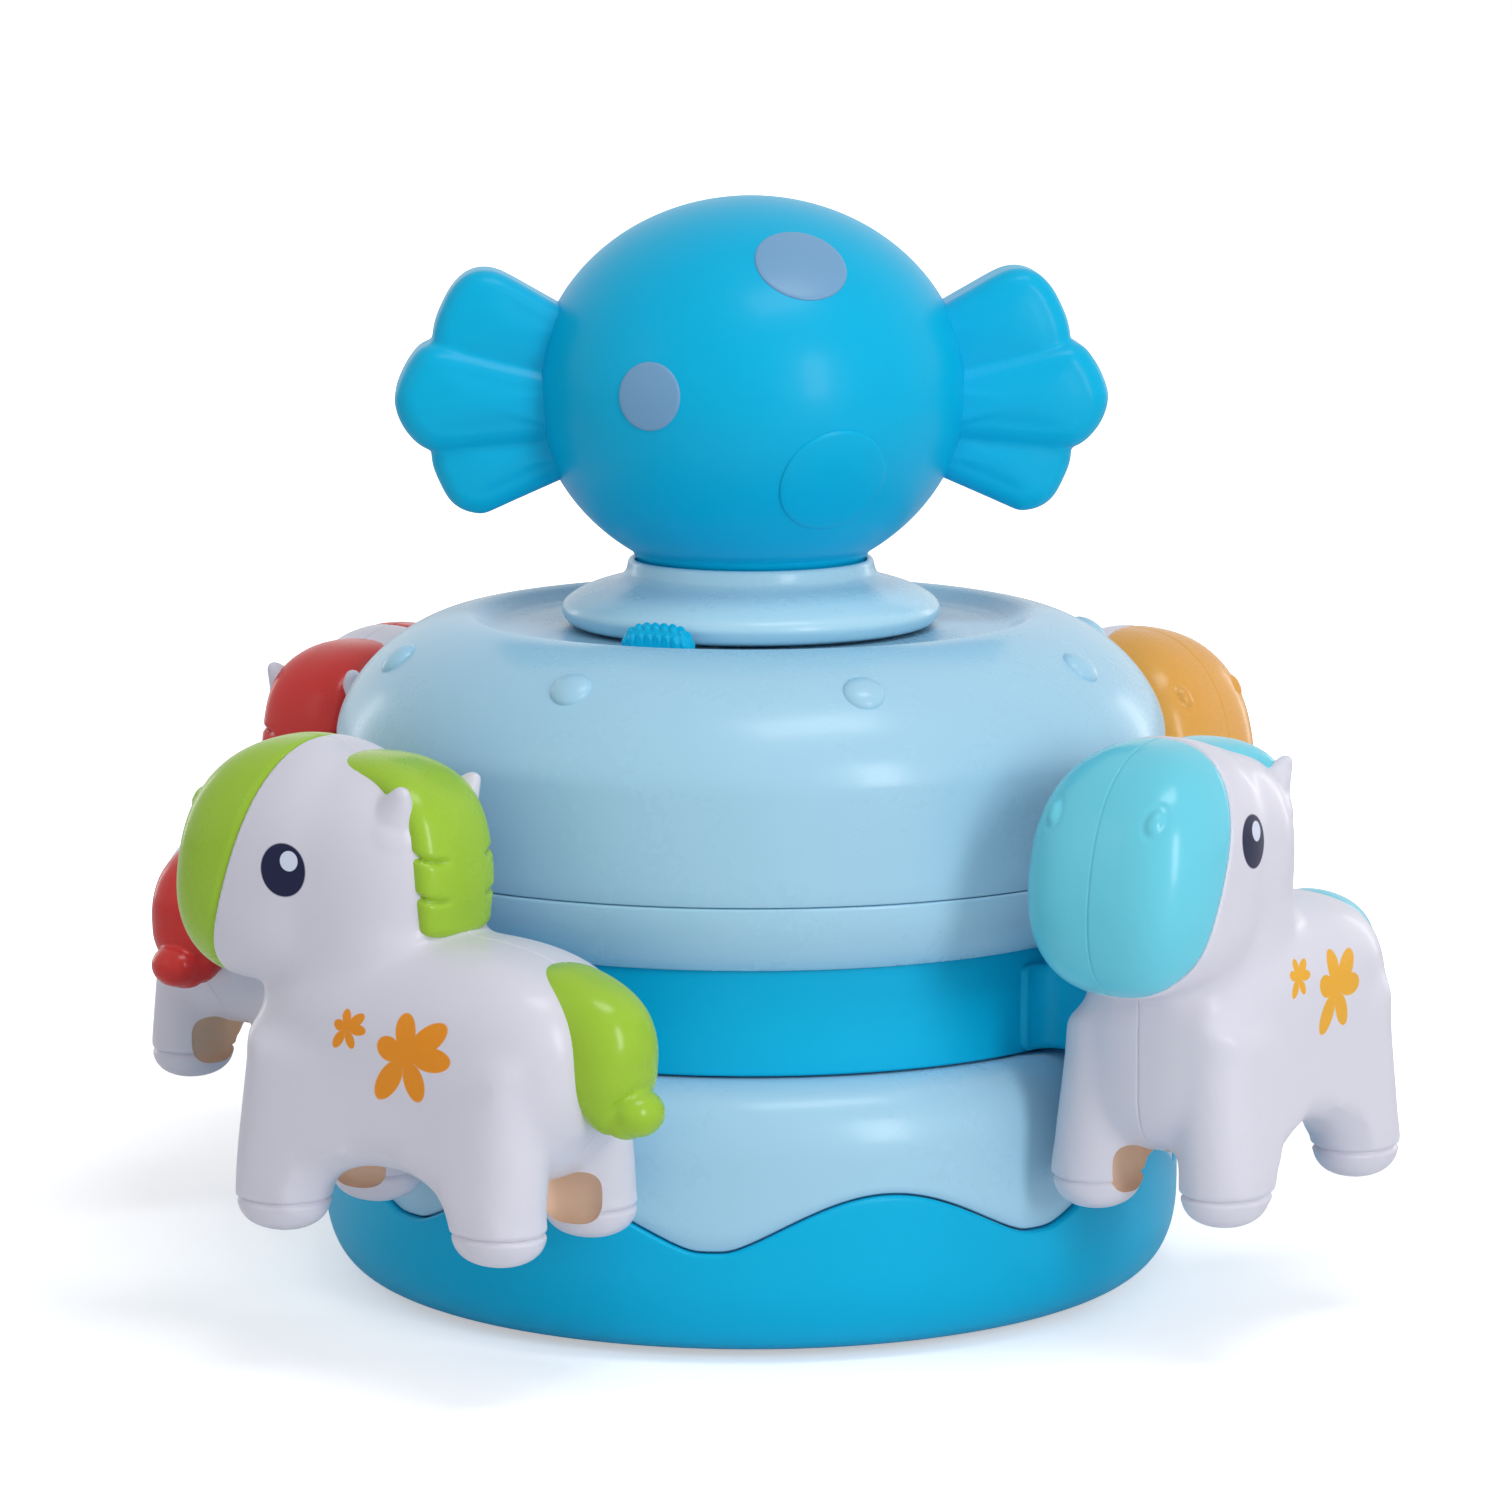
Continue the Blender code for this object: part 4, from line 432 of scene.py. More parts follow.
collar = {"steps": 288,
          "outer": [(29.4, 110.35), (30.8, 110.9), (31.7, 112.0), (32.0, 113.1), (31.5, 114.3), (30.2, 115.4),
                    (28.1, 116.5), (25.5, 117.4), (22.9, 118.1), (21.5, 119.0), (21.0, 120.0), (20.8, 121.0),
                    (20.5, 121.5), (20.1, 121.62)],
          "inner": [(19.75, 121.5), (19.6, 121.2), (19.55, 119.5), (19.5, 114.2), (3.6, 114.2), (3.6, 102.6),
                    (4.6, 102.6), (4.6, 110.3)]}


def buildCollar():
    outline = [tuple(p) for p in smoothLine(collar["outer"], 6)] + collar["inner"]
    # The collar takes the lighter copy of the pale blue, which is painted light
    addPiece("collarRing", turned(outline, collar["steps"]), collarLitPaleBlue, "toy_base", "pale_blue", "collar")


buildRoof()
buildBumps()
buildCollar()
print("stage: roof")

switch = {"radius": 35.1, "angle": radians(-115.6), "long": 12.6, "deep": 4.8, "low": 110.3, "rise": 4.3,
          "rows": 90, "columns": 150, "endPower": 3.6, "knobs": 7, "knobRows": 4.2, "knobRise": 0.42,
          "knobMargin": 0.7, "knobSize": 0.2}


# A rounded bar: an ellipse across and a squarer one along, studded with rows of small round bumps that
# are raised by a power of the squared distance from each place, every second row half a step aside
def buildSwitch():
    rows, columns, half = switch["rows"], switch["columns"], switch["deep"] / 2
    across, along = np.meshgrid(np.linspace(0, pi, rows), np.linspace(-1, 1, columns), indexing="ij")
    end = np.clip(1 - np.abs(along) ** switch["endPower"], 0, 1) ** (1 / 2.4)
    x = along * switch["long"] / 2
    row = across / pi * switch["knobRows"]
    cell = (switch["long"] - 2 * switch["knobMargin"]) / switch["knobs"]
    fromX = (x / cell + np.floor(row) % 2 * 0.5) % 1 - 0.5
    fromY = row % 1 - 0.5
    knob = np.clip(1 - (fromX ** 2 + fromY ** 2) / switch["knobSize"], 0, 1) ** 1.2 * switch["knobRise"] * end
    y = -half * np.cos(across) * (0.25 + 0.75 * end) - knob * np.cos(across)
    z = (switch["rise"] - 0.4) * np.sin(across) ** 0.8 * end + knob * np.sin(across)
    points = spread(x, np.clip(y, -half, half) - switch["radius"], switch["low"] + z)
    points = spun(points, switch["angle"] + pi / 2)
    mesh = tidied(quadMesh(points, gridFaces(rows, columns, True, False)))
    addPiece("switchCap", mesh, deepBlue, "mode_slider", "deep_blue", "mode_switch")


buildSwitch()

ball = {"wide": 36.4, "high": 32.5, "centre": 150.0, "blendRadius": 20.1, "turn": radians(3.0), "steps": 256,
        "spigot": [(3.4, 115.05), (18.4, 115.05), (19.0, 115.3), (19.2, 115.9)],
        "neck": [(19.2, 119.2), (19.2, 120.6), (19.3, 121.5), (19.6, 122.0)],
        "inner": [(0.0, 180.0), (30.0, 166.0), (34.0, 150.0), (30.0, 134.0), (16.8, 121.0), (3.4, 121.0)]}


# The ball's outline from its neck up to the top, with a small hollow fillet where the two meet
def buildBall():
    low = -acos(ball["blendRadius"] / ball["wide"])
    arc = [(ball["wide"] * np.cos(a), ball["centre"] + ball["high"] * np.sin(a))
           for a in np.linspace(low, pi / 2, 70)]
    neck = [tuple(p) for p in smoothLine(ball["neck"] + arc[:1], 5)[:-1]]
    arc[-1] = (0.0, arc[-1][1])
    mesh = turned(ball["spigot"] + neck + arc + ball["inner"], ball["steps"])
    addPiece("knobBall", mesh, deepBlue, "knob", "deep_blue", "knob_front_half", "knob_back_half")


# Each patch has its way from the ball's middle, its radius, its rise and its material; the raised discs are
# real, and the pale colour of High and Left is a painted reflection of the lamps on their flat tops
patches = {"High": ((8.4, -24.7, 22.96), 7.9, 0.35, discReflectionBlue),
           "Left": ((-16.5, -32.1, 1.7), 5.7, 0.35, discReflectionBlue),
           "Low": ((13.8, -30.6, -12.6), 9.7, 0.5, deepBlue)}


# A thin round patch that follows the ball, raised along its normal, with rings that crowd towards its
# softened edge
def ballPatch(name, place, radius, rise, material, around, steps=96, inner=0.86):
    scale = np.array((ball["wide"], ball["wide"], ball["high"]))

    def onBall(spot):
        return spot / np.linalg.norm(spot / scale, axis=-1, keepdims=True)

    middle = onBall(np.array(place))
    out = unit(middle / scale ** 2)
    side = unit(np.cross(out, (0, 0, 1)))
    up = np.cross(side, out)
    crowded = 1 - (1 - inner) * (1 - np.linspace(0, 1, 15)[1:]) ** 1.6
    rho = np.concatenate([np.linspace(0, inner, 12), crowded])
    rho, angle = np.meshgrid(rho, fullTurn(steps), indexing="ij")
    reach = (rho * radius)[..., None]
    flat = middle + reach * (np.cos(angle)[..., None] * side + np.sin(angle)[..., None] * up)
    on = onBall(flat)
    lift = rise * np.clip(1 - rho ** 26, 0, 1) ** 0.5 - 0.05 * (rho > 0.999)
    points = (on + unit(on / scale ** 2) * lift[..., None]).reshape(-1, 3) + (0, 0, ball["centre"])
    mesh = tidied(quadMesh(spun(points, around), gridFaces(len(rho), steps)))
    addPiece(name, mesh, material, "knob", "deep_blue")


# A sine or cosine made squarer: its size is raised to 2 over the power and its sign stays
def squared(value, power):
    return np.sign(value) * np.abs(value) ** (2 / power)


# A superellipsoid: half sizes along each axis, squarer than an ellipsoid where a power is above 2;
# lean shifts it along x in step with its height
def roundedForm(centre, half, planPower, sidePower, lean=0.0, columns=64, rows=33):
    v, u = np.meshgrid(np.linspace(-pi / 2, pi / 2, rows), fullTurn(columns), indexing="ij")
    up = half[2] * squared(np.sin(v), sidePower)
    width = np.clip(np.cos(v), 0, 1) ** (2 / sidePower)
    x = half[0] * width * squared(np.cos(u), planPower) + lean * up
    y = half[1] * width * squared(np.sin(u), planPower)
    return spread(x, y, up) + centre, gridFaces(rows, columns)


# A bent rounded bar: superelliptical sections stand square to a smooth line through the stations, which
# are (along, up, half thickness, half width), and both ends close in half an ellipse
def bentForm(stations, power, columns=40):
    smooth = smoothLine(stations, 10)
    centre, thick, wide = smooth[:, :2], smooth[:, 2], smooth[:, 3]
    heading = unit(np.gradient(centre, axis=0))

    def cap(end, order):
        return [(centre[end] + heading[end] * order * thick[end] * np.sin(a), heading[end],
                 thick[end] * np.cos(a), wide[end] * np.cos(a)) for a in np.linspace(0, pi / 2, 8)[1:]]

    rings = cap(0, -1)[::-1] + list(zip(centre, heading, thick, wide)) + cap(-1, 1)
    u = fullTurn(columns)
    points = []
    for spot, way, deep, half in rings:
        flat = spot + np.outer(squared(np.sin(u), power) * deep, (-way[1], way[0]))
        points.append(np.insert(flat, 1, squared(np.cos(u), power) * half, axis=1))
    return np.concatenate(points), gridFaces(len(rings), columns)


# A flat form with rounded edges: its smoothed outline stands at depths from back to front, drawn in near
# both faces by a quarter circle of the edge's radius, and a low crown closes each face
def lobeForm(outline, half, edge, crown=0.7):
    line = smoothLine(outline + outline[:1], 6)[:-1]
    step = np.roll(line, -1, axis=0) - np.roll(line, 1, axis=0)
    inward = unit(np.stack([step[:, 1], -step[:, 0]], axis=-1))
    face = [(edge, s, half + crown * (1 - s ** 2)) for s in (0.001, 0.25, 0.5, 0.75, 0.999)]
    side = [(edge * (1 - np.cos(a)), 1.0, half - edge + edge * np.sin(a))
            for a in np.linspace(pi / 2, 0, 10)]
    rings = [(pull, share, -depth) for pull, share, depth in face + side] + (face + side)[::-1]
    points = []
    for pull, share, depth in rings:
        flat = line + inward * pull
        middle = flat.mean(axis=0)
        points.append(np.insert(middle + (flat - middle) * share, 1, depth, axis=1))
    return np.concatenate(points), gridFaces(len(points), len(line))


# One mesh from several forms, each of them its points and its faces
def gathered(forms):
    points, faces, start = [], [], 0
    for formPoints, formFaces in forms:
        points.append(formPoints)
        faces.append(formFaces + start)
        start += len(formPoints)
    return tidied(quadMesh(np.concatenate(points), np.concatenate(faces)))


# The mesh of a helper object with its modifiers applied; the helper then goes
def evaluated(helper):
    bpy.context.view_layer.update()
    mesh = bpy.data.meshes.new_from_object(helper.evaluated_get(bpy.context.evaluated_depsgraph_get()))
    bpy.data.objects.remove(helper, do_unlink=True)
    return mesh


# Joins overlapping forms into one skin with a fine voxel remesh and relaxes it into soft fillets
def joined(forms, cell, relax):
    helper = addObject("guide", gathered(forms), None)
    remesh = helper.modifiers.new("join", "REMESH")
    remesh.mode = "VOXEL"
    remesh.voxel_size = cell * mm
    soften = helper.modifiers.new("relax", "SMOOTH")
    soften.factor = 0.5
    soften.iterations = relax
    return evaluated(helper)


# One vector for each vertex of a mesh, such as its place "co" or its "normal"
def vertexField(mesh, field):
    values = np.empty(len(mesh.vertices) * 3)
    mesh.vertices.foreach_get(field, values)
    return values.reshape(-1, 3)


def meshPoints(mesh):
    return vertexField(mesh, "co") / mm


def setPoints(mesh, points):
    mesh.vertices.foreach_set("co", (np.asarray(points) * mm).ravel())
    mesh.update()


# Each lobe of the wrapper's fan is a closed outline of (out, up), its half depth and its edges' radius
lobes = (([(27.0, 3.0), (34.6, 4.4), (44.2, 6.7), (51.4, 8.4), (55.0, 7.8), (57.3, 5.4), (59.0, 2.2),
           (59.8, -0.8), (59.2, -3.9), (57.6, -6.7), (55.2, -8.9), (52.0, -9.8), (44.2, -9.3), (34.6, -8.5),
           (27.0, -8.0)], 9.6, 4.2),
         ([(27.0, 11.6), (31.9, 14.4), (36.5, 17.0), (40.6, 19.3), (43.0, 20.3), (45.4, 20.5), (47.8, 19.7),
           (49.8, 17.9), (51.4, 15.4), (53.0, 11.6), (53.4, 8.0), (52.0, 4.0), (44.0, 1.0), (34.0, -1.0),
           (27.0, -2.0)], 7.8, 3.4),
         ([(27.0, -3.0), (34.0, -3.6), (44.0, -4.4), (52.0, -6.0), (53.6, -9.0), (53.6, -11.8),
           (52.6, -14.6), (50.8, -17.9), (48.4, -19.7), (45.3, -20.3), (42.8, -19.4), (40.8, -18.5),
           (36.5, -16.6), (32.2, -14.7), (27.0, -12.4)], 7.6, 3.4))


def buildWings():
    mesh = joined([lobeForm(*lobe) for lobe in lobes], 0.45, 4)
    for label, side in (("Right", 1), ("Left", -1)):
        copy = mesh.copy()
        points = meshPoints(mesh) * (side, 1, 1) + (0, 0, ball["centre"])
        setPoints(copy, spun(points, ball["turn"]))
        node = "knob_wing_" + label.lower()
        addPiece("knobWing" + label, tidied(copy), deepBlue, "knob", "deep_blue", node)


buildBall()
for label, around in (("Front", 0.0), ("Back", pi)):
    for where, patch in patches.items():
        ballPatch(f"knobDisc{label}{where}", *patch, around)
buildWings()
print("stage: knob")

# A pony's own axes are forward, outward and up from its hooves; the arms carry it at these places
pony = {"orbit": 92.1, "hoof": ground + 22.8, "half": 16.6, "side": 11.8}
legs = [(along, side) for along in (17.9, -24.9) for side in (-1, 1)]
ponyForms = {"body": ((-5.9, 0, 30.2), (31.8, 16.6, 18.2), 3.2, 2.7),
             "chest": ((14.4, 0, 21.6), (11.4, 13.0, 11.4), 3.0, 2.4),
             "rump": ((-21.4, 0, 21.6), (11.2, 13.0, 11.0), 3.0, 2.4),
             "neck": ((7.6, 0, 42.5), (16.5, 14.2, 18.7), 2.8, 2.4),
             "head": ((14.8, 0, 56.5), (24.2, 14.7, 19.2), 2.7, 2.5),
             "muzzle": ((23.4, 0, 57.3), (17.6, 15.8, 20.2), 3.5, 2.4, -0.17),
             "jaw": ((22.5, 0, 50.5), (15.6, 15.6, 12.8), 2.8, 2.6)}

# A side of the pony from the front leg over the belly's arch to the rear leg, as (along, up)
flankLine = [(24.4, 1.2), (11.4, 1.2), (10.1, 4.0), (9.8, 6.0), (8.7, 8.2), (6.0, 10.4), (1.4, 11.9),
             (-3.6, 12.4), (-8.6, 11.9), (-13.2, 10.4), (-16.1, 8.2), (-17.2, 6.0), (-17.4, 4.0),
             (-18.8, 1.2), (-31.0, 1.2), (-32.3, 4.5), (-32.5, 12.0), (-32.2, 20.0), (-31.8, 28.0),
             (-30.5, 34.0), (-3.0, 36.0), (22.5, 34.0), (24.4, 28.0), (25.2, 20.0), (25.8, 12.0),
             (25.7, 4.5)]
flank = {"half": 6.85, "edge": 6.8, "crown": 0.05, "leanFrom": 7.9, "leanOver": 29.1, "lean": 2.4,
         "waistAt": -3.6, "waistLong": 15.0, "outerWaist": 0.6, "innerWaist": 2.2}
hoof = {"middle": 5.6, "size": (7.65, 6.8, 5.6)}
ear = {"from": (0.8, 6.4, 63.0), "to": (-4.4, 9.0, 71.1), "size": 6.8, "taper": 5.4, "power": 0.75,
       "shape": (1.12, 0.85, 1.0), "count": 11}


# The soft forms: body, neck, head and muzzle, and each flank with its two legs, which leans in towards the
# body as it rises, by the power 0.9 of its share of the height, and has a shallow waist between the legs
def softForms():
    forms = [roundedForm(*sizes) for sizes in ponyForms.values()]
    for side, waist in ((1, flank["outerWaist"]), (-1, flank["innerWaist"])):
        points, faces = lobeForm(flankLine, flank["half"], flank["edge"], flank["crown"])
        share = np.clip((points[:, 2] - flank["leanFrom"]) / flank["leanOver"], 0, 1)
        fromWaist = (points[:, 0] - flank["waistAt"]) / flank["waistLong"]
        drawnIn = flank["lean"] * share ** 0.9 + waist * np.clip(1 - fromWaist ** 2, 0, 1)
        points[:, 1] += side * (pony["side"] - drawnIn)
        forms.append((points, faces))
    return forms


# The crisper forms: four hooves, and ears as rows of shrinking ellipsoids
def crispForms():
    forms = [roundedForm((along, side * pony["side"], hoof["middle"]), hoof["size"], 2.1, 2.4)
             for along, side in legs]
    start, end = np.array(ear["from"]), np.array(ear["to"])
    for side in (-1, 1):
        for share in np.linspace(0, 1, ear["count"]):
            size = ear["size"] - ear["taper"] * share ** ear["power"]
            forms.append(roundedForm((start + (end - start) * share) * (1, side, 1),
                                     size * np.array(ear["shape"]), 2.0, 2.0, 0, 30, 17))
    return forms


# Pulls points near a plane in along their normals: a groove that falls off with the squared distance
def groove(points, normals, distance, depth, width, where=1.0):
    near = np.clip(1 - np.abs(distance) / width, 0, 1) ** 2 * depth * where
    return points - normals * near[:, None]


# Cuts a mesh along planes, given as (spot, way); dropping leaves only what lies ahead and closes the cut
def cutAlong(mesh, planes, dropping=False):
    bm = bmesh.new()
    bm.from_mesh(mesh)
    for spot, way in planes:
        everything = bm.verts[:] + bm.edges[:] + bm.faces[:]
        cut = bmesh.ops.bisect_plane(bm, geom=everything, dist=1e-6, plane_co=[v * mm for v in spot],
                                     plane_no=way, clear_inner=dropping)["geom_cut"]
        if dropping:
            bmesh.ops.holes_fill(bm, edges=[e for e in cut if isinstance(e, bmesh.types.BMEdge)], sides=0)
    bm.to_mesh(mesh)
    bm.free()
    return mesh


# The seam of the muzzle leans: its plane lies this far from the origin along the way ahead
seamLean = radians(20.0)
seamReach = 43.7
ahead = np.array((np.cos(seamLean), 0.0, np.sin(seamLean)))
pocket = {"along": -0.6, "across": 4.7, "up": 7.8, "half": (5.6, 3.5, 4.6)}
seat = {"half": 8.8, "low": 44.9, "high": 61.2}
nostril = {"across": 9.1, "up": 67.0, "wide": 1.2, "high": 1.8, "rise": 0.6, "ahead": 26}
moat = {"depth": 0.12, "middle": 1.35, "half": 0.35}
# Each groove's depth and width, with the extra edge loops round it
halvesGroove = {"size": (0.22, 0.3), "loops": (-0.3, 0.0, 0.3)}
hoofGroove = {"size": (0.55, 0.85), "up": 5.2, "below": 12, "loops": (4.4, 4.8, 5.2, 5.6, 6.0)}
muzzleGroove = {"depth": 0.45, "before": 1.6, "behind": 0.5, "gap": 0.05,
                "loops": (-0.8, -0.4, -0.15, 0.15, 0.5, 1.0, 1.6)}


# Recesses in the legs' inner faces: rounded forms cut into the skin, their walls in the second material
def pocketed(mesh):
    forms = [roundedForm((along + pocket["along"], side * pocket["across"], pocket["up"]), pocket["half"],
                         4.0, 3.0) for along, side in legs]
    cutter = addObject("pocketCutter", gathered(forms), ponyWhite)
    target = addObject("pocketTarget", mesh, ponyWhite)
    for made in (cutter, target):
        made.data.materials.append(beige)
    walls = cutter.data.polygons
    walls.foreach_set("material_index", np.ones(len(walls), dtype=np.int32))
    cut = target.modifiers.new("pockets", "BOOLEAN")
    cut.operation = "DIFFERENCE"
    cut.solver = "EXACT"
    cut.object = cutter
    result = evaluated(target)
    bpy.data.objects.remove(cutter, do_unlink=True)
    return result


# The whole pony as one skin, then the flat where the arm meets it, the grooves of halves, hooves and
# muzzle, and the nostrils, each a dome with a moat by the distance r from its middle
def ponyMaster():
    soft = joined(softForms(), 0.7, 56)
    corners = np.empty(len(soft.loops), dtype=np.int32)
    soft.loops.foreach_get("vertex_index", corners)
    form = joined([(meshPoints(soft), corners.reshape(-1, 4))] + crispForms(), 0.5, 4)
    loops = [((0, b, 0), (0, 1, 0)) for b in halvesGroove["loops"]]
    loops += [(ahead * (seamReach + d), ahead) for d in muzzleGroove["loops"]]
    loops += [((0, 0, c), (0, 0, 1)) for c in hoofGroove["loops"]]
    cutAlong(form, loops)
    points, normals = meshPoints(form), vertexField(form, "normal")
    rise = points[:, 2] + pony["hoof"]
    seated = (np.abs(points[:, 0]) < seat["half"]) & (rise > seat["low"]) & (rise < seat["high"])
    points[:, 1] = np.where(seated, np.maximum(points[:, 1], -pony["half"]), points[:, 1])
    points = groove(points, normals, points[:, 1], *halvesGroove["size"])
    points = groove(points, normals, points[:, 2] - hoofGroove["up"], *hoofGroove["size"],
                    points[:, 2] < hoofGroove["below"])
    fromSeam = points @ ahead - seamReach
    points = groove(points, normals, fromSeam, muzzleGroove["depth"],
                    np.where(fromSeam > 0, muzzleGroove["before"], muzzleGroove["behind"]))
    r = np.hypot((np.abs(points[:, 1]) - nostril["across"]) / nostril["wide"],
                 (points[:, 2] - nostril["up"]) / nostril["high"])
    lift = (nostril["rise"] * np.clip(1 - r ** 2, 0, 1) ** 0.7
            - moat["depth"] * np.clip(1 - ((r - moat["middle"]) / moat["half"]) ** 2, 0, 1))
    setPoints(form, points + normals * (lift * (points[:, 0] > nostril["ahead"]))[:, None])
    gap = ahead * muzzleGroove["gap"]
    muzzle = cutAlong(form.copy(), [(ahead * seamReach + gap, ahead)], True)
    return pocketed(cutAlong(form, [(ahead * seamReach - gap, -ahead)], True)), muzzle


mane = {"line": [(15.0, 72.7, 1.0, 3.4), (12.0, 73.0, 2.2, 5.6), (8.0, 72.8, 3.0, 7.0), (2.0, 72.0, 3.4, 7.6),
                 (-2.8, 69.6, 3.6, 8.5), (-6.0, 65.2, 3.6, 8.7), (-7.4, 57.2, 3.5, 8.9),
                 (-7.6, 50.2, 2.7, 8.2)],
        "power": 2.4, "notches": (60.2, 54.0), "notchSize": (1.1, 1.0), "slant": 0.3, "from": -11.2,
        "plain": 4.0, "over": 2.0, "behind": -3}
tail = {"line": [(-23.4, 43.6, 1.6, 3.6), (-29.6, 41.0, 5.4, 6.8), (-35.0, 35.2, 8.8, 7.8),
                 (-37.6, 28.6, 7.2, 7.6), (-39.4, 24.6, 4.8, 6.0), (-41.2, 23.2, 3.4, 4.6)],
        "power": 2.3, "ball": (-42.7, 0, 24.1), "ballHalf": (4.2, 4.6, 3.8)}


# The mane: a rounded strip over the crest of the neck with two slanted notches in each edge
def ponyMane():
    mesh = joined([bentForm(mane["line"], mane["power"])], 0.4, 3)
    points, normals = meshPoints(mesh), vertexField(mesh, "normal")
    edges = np.clip((np.abs(points[:, 1]) - mane["plain"]) / mane["over"], 0, 1)
    edges = edges * (points[:, 0] < mane["behind"])
    for level in mane["notches"]:
        line = level + mane["slant"] * (points[:, 0] - mane["from"])
        points = groove(points, normals, points[:, 2] - line, *mane["notchSize"], edges)
    setPoints(mesh, points)
    return mesh


# The tail: a broad leaf with a small ball at its tip and a crease between them
def ponyTail():
    forms = [bentForm(tail["line"], tail["power"]), roundedForm(tail["ball"], tail["ballHalf"], 2.0, 2.0)]
    return joined(forms, 0.4, 3)


# The flower's petals as direction and length; the last one is its round middle
petalSizes = ((90, 6.7), (145, 9.4), (180, 8.7), (-115, 7.4), (-52, 9.0), (15, 5.6), (0, 0))


# How far a point lies inside a circle of radius 1: 1 at its middle and 0 on its edge
def insideOf(group, a, b):
    squares = mathNode(group, "MULTIPLY_ADD", a, a, mathNode(group, "MULTIPLY", b, b))
    return mathNode(group, "SUBTRACT", 1.0, mathNode(group, "SQRT", squares))


# A flower in the side view: each petal is an ellipse from a little beyond the flower's middle to its own
# tip, and the largest of their masks counts
def petalGroup(middle=0.57, half=0.43, least=1.9, wide=1.95):
    group, given, result = newGroup("petals", {"Along": 0.0, "Up": 0.0, "Size": 1.0, "Soft": 0.1},
                                    {"Mask": "Float"})
    along = mathNode(group, "DIVIDE", given.outputs["Along"], given.outputs["Size"])
    up = mathNode(group, "DIVIDE", given.outputs["Up"], given.outputs["Size"])
    flower = None
    for degrees, length in petalSizes:
        c, s = np.cos(radians(degrees)), np.sin(radians(degrees))
        out = mathNode(group, "MULTIPLY_ADD", along, c,
                       mathNode(group, "MULTIPLY_ADD", up, s, -middle * length))
        across = mathNode(group, "MULTIPLY_ADD", along, -s, mathNode(group, "MULTIPLY", up, c))
        inside = insideOf(group, mathNode(group, "DIVIDE", out, max(half * length, least)),
                          mathNode(group, "DIVIDE", across, wide))
        flower = inside if flower is None else mathNode(group, "MAXIMUM", flower, inside)
    sharp = mathNode(group, "DIVIDE", flower, given.outputs["Soft"])
    setInputs(result, {"Mask": mathNode(group, "ADD", sharp, 0.5, clamp=True)})
    return group


# A filled oval in the side view: 1 inside, with a thin soft edge
def ovalGroup(sharpness=18.0):
    group, given, result = newGroup("oval", {"Along": 0.0, "Up": 0.0, "Wide": 1.0, "High": 1.0},
                                    {"Mask": "Float"})
    inside = insideOf(group, mathNode(group, "DIVIDE", given.outputs["Along"], given.outputs["Wide"]),
                      mathNode(group, "DIVIDE", given.outputs["Up"], given.outputs["High"]))
    setInputs(result, {"Mask": mathNode(group, "MULTIPLY_ADD", inside, sharpness, 0.5, clamp=True)})
    return group


petals = petalGroup()
oval = ovalGroup()

# Where the eye and the flowers are on each pony, as (along, up) and a flower's size, and the petals' colour
greenDecals = {"eye": (14.4, 58.3), "large": (-10.5, 31.9, 1.0), "small": (1.2, 34.9, 0.45),
               "petal": (0.93, 0.58, 0.08)}
blueDecals = {"eye": (16.5, 61.9), "large": (-8.9, 34.4, 0.94), "small": (2.4, 38.0, 0.43),
              "petal": (0.93, 0.68, 0.12)}
decals = {"green": greenDecals, "blue": blueDecals, "orange": greenDecals, "red": greenDecals}
eyeLook = {"half": (4.05, 4.25), "colour": (0.03, 0.06, 0.24), "shine": (-1.1, 1.5), "shineHalf": (1.55, 1.6),
           "shineColour": (0.85, 0.88, 0.95)}
decalsFrom = 9.0


# Paints the eyes and the flowers on both sides, by each point's place on the pony in millimetres, which
# the body's mesh carries as an attribute
def paintPony(tree, colour, look):
    place = newNode(tree, "Attribute", attribute_name="ponyPlace")
    split = newNode(tree, "SeparateXYZ")
    setInputs(split, {0: place.outputs["Vector"]})
    along, across, up = split.outputs
    sides = mathNode(tree, "SUBTRACT", mathNode(tree, "ABSOLUTE", across), decalsFrom, clamp=True)

    def mask(kind, spot, third, fourth):
        node = newNode(tree, "Group", node_tree=kind)
        setInputs(node, {0: mathNode(tree, "SUBTRACT", along, spot[0]),
                         1: mathNode(tree, "SUBTRACT", up, spot[1]), 2: third, 3: fourth})
        return node.outputs[0]

    def over(below, paint, amount):
        mix = newNode(tree, "Mix", data_type="RGBA")
        setInputs(mix, {"Factor": mathNode(tree, "MULTIPLY", amount, sides), "A": below, "B": linear(paint)})
        return mix.outputs["Result"]

    large, small, eye = look["large"], look["small"], look["eye"]
    flowers = mathNode(tree, "MAXIMUM", mask(petals, large, large[2], 0.08),
                       mask(petals, small, small[2], 0.14))
    colour = over(colour, look["petal"], flowers)
    colour = over(colour, eyeLook["colour"], mask(oval, eye, *eyeLook["half"]))
    shine = mask(oval, (eye[0] + eyeLook["shine"][0], eye[1] + eyeLook["shine"][1]), *eyeLook["shineHalf"])
    return over(colour, eyeLook["shineColour"], shine)


def ponySkin(colour):
    return plastic("ponyWhite" + colour.capitalize(), (0.86, 0.855, 0.90), 0.34, coat=0.12,
                   subsurface=0.2, drift=0.02, ripple=0.04,
                   overlay=lambda tree, below: paintPony(tree, below, decals[colour]))


ponyWhites = {colour: ponySkin(colour) for colour in decals}
ponyWhite = ponyWhites["green"]
trims = {"green": (plastic("leafGreen", (0.62, 0.78, 0.20), 0.27, coat=0.12), "leaf_green"),
         "blue": (plastic("skyBlue", (0.42, 0.82, 0.90), 0.25, coat=0.12), "sky_blue"),
         "orange": (plastic("softOrange", (0.91, 0.66, 0.30), 0.28, coat=0.12), "soft_orange"),
         "red": (plastic("warmRed", (0.83, 0.19, 0.17), 0.27, coat=0.12), "warm_red")}


# Puts a pony's points at their station: its own forward, outward and up become the toy's axes
def stationed(points, phi):
    return spun(points * (-1, -1, 1) + (0, -pony["orbit"], pony["hoof"]), phi)


